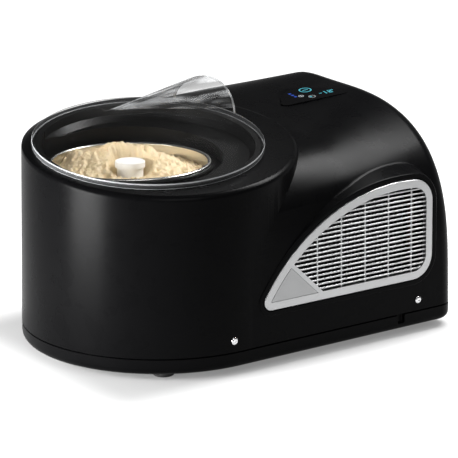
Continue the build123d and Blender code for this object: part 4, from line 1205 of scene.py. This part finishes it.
# Floor and studio: a white sweep whose glow is turned down round the object's footprint, a painted
# shadow, a bright horizon under a dim ceiling, and softboxes that draw the long lights down the tower
# and over the hood.
floor_size, floor_grey, horizon = 12.0, (0.36, 0.36, 0.36, 1), 0.5
footprint, painted_shadow_reach, painted_shadow_glow, open_glow = (0.185, 0.125, 0), 0.09, 0.22, 1.08
ceiling_from, ceiling_full, ceiling, fill = 0.08, 0.40, 0.05, 0.35
white_light = (1, 1, 1, 1)


def ray_kinds(tree):
    """Whether a ray comes from the camera, off gloss or through a clear piece."""
    rays = tree.nodes.new("ShaderNodeLightPath").outputs
    return [Wire(tree, rays[f"Is {ray} Ray"]) for ray in ("Camera", "Glossy", "Transmission")]


bpy.ops.mesh.primitive_plane_add(size=floor_size)
floor = bpy.context.object
floor.name = "floor"
made, at = new_material("white_sweep")
made.node_tree.nodes.remove(made.node_tree.nodes["Principled BSDF"])
matt = at.node("ShaderNodeBsdfDiffuse", {}, {"Color": floor_grey})
seen, mirrored, through = ray_kinds(at.tree)
shown = seen.sum("MAXIMUM", seen, mirrored.sum("MAXIMUM", mirrored, through) * horizon)
# The glow falls off towards the object's footprint, so the floor round it is painted darker: a painted
# shadow on top of the lamps' own.
aside = at.node("ShaderNodeVectorMath", {"operation": "ABSOLUTE"}, {0: at})
aside = at.node("ShaderNodeVectorMath", {"operation": "SUBTRACT"}, {0: aside, 1: footprint})
aside = at.node("ShaderNodeVectorMath", {"operation": "MAXIMUM"}, {0: aside, 1: (0, 0, 0)})
reach = at.node("ShaderNodeVectorMath", {"operation": "LENGTH"}, {0: aside}, 1)
far = ramped(reach, 0.0, painted_shadow_reach, painted_shadow_glow, open_glow)
glow = at.node("ShaderNodeEmission", {}, {"Color": white_light, "Strength": shown * far})
both = at.node("ShaderNodeAddShader", {}, {0: matt, 1: glow})
made.node_tree.links.new(both.socket, made.node_tree.nodes["Material Output"].inputs["Surface"])
floor.data.materials.append(made)

world = bpy.data.worlds.new("studio")
scene.world = world
world.use_nodes = True
sky = world.node_tree
way = Wire(sky, sky.nodes.new("ShaderNodeTexCoord").outputs["Generated"])
up = way.node("ShaderNodeSeparateXYZ", {}, {0: way}, 2)
dim = ramped(up, ceiling_from, ceiling_full, horizon, ceiling, "LINEAR")
seen, mirrored, through = ray_kinds(sky)
shine = mirrored.sum("MAXIMUM", mirrored, through)
strength = seen + (1 - seen) * (shine * dim + (1 - shine) * fill)
sky.links.new(strength.socket, sky.nodes["Background"].inputs["Strength"])
sky.nodes["Background"].inputs["Color"].default_value = white_light


def softbox(name, place, aim, width, height, power, roll=0):
    """A rectangular lamp turned to a point, and rolled about its own axis."""
    data = bpy.data.lights.new(name, "AREA")
    data.shape = "RECTANGLE"
    data.size, data.size_y, data.energy = width, height, power
    lamp = bpy.data.objects.new(name, data)
    lamp.location = place
    lamp.rotation_euler = (Vector(aim) - Vector(place)).to_track_quat("-Z", "Y").to_euler()
    lamp.rotation_euler.rotate_axis("Z", roll)
    scene.collection.objects.link(lamp)


softbox("strip_light", (-0.727, -0.01, 0.18), (-0.067, 0, 0.12), 0.30, 0.34, power=14)
softbox("ledge_light", (0.22, 0.30, 0.61), (-0.10, -0.13, 0.19), 0.20, 0.20, power=0.12)
hood_roll = radians(135)
softbox("hood_light", (0.46, -0.15, 0.69), (0.46, -0.14, 0.20), 0.50, 0.26, power=10, roll=hood_roll)
softbox("key_light", (-0.5, -1.4, 1.5), (0, 0, 0.1), 1.0, 0.8, power=8)

# Camera: a long lens at the photograph's viewing angle, to the left of the near flank
# and a little above the hood.
turn, tilt = radians(35.57), radians(15.35)
gaze = Vector((sin(turn) * cos(tilt), cos(turn) * cos(tilt), -sin(tilt)))
camera = bpy.data.objects.new("camera", bpy.data.cameras.new("camera"))
camera.location = (-1.2039, -1.7092, 0.67895)
camera.rotation_euler = gaze.to_track_quat("-Z", "Y").to_euler()
camera.data.sensor_width = 36
camera.data.lens = 164.84
scene.collection.objects.link(camera)
scene.camera = camera
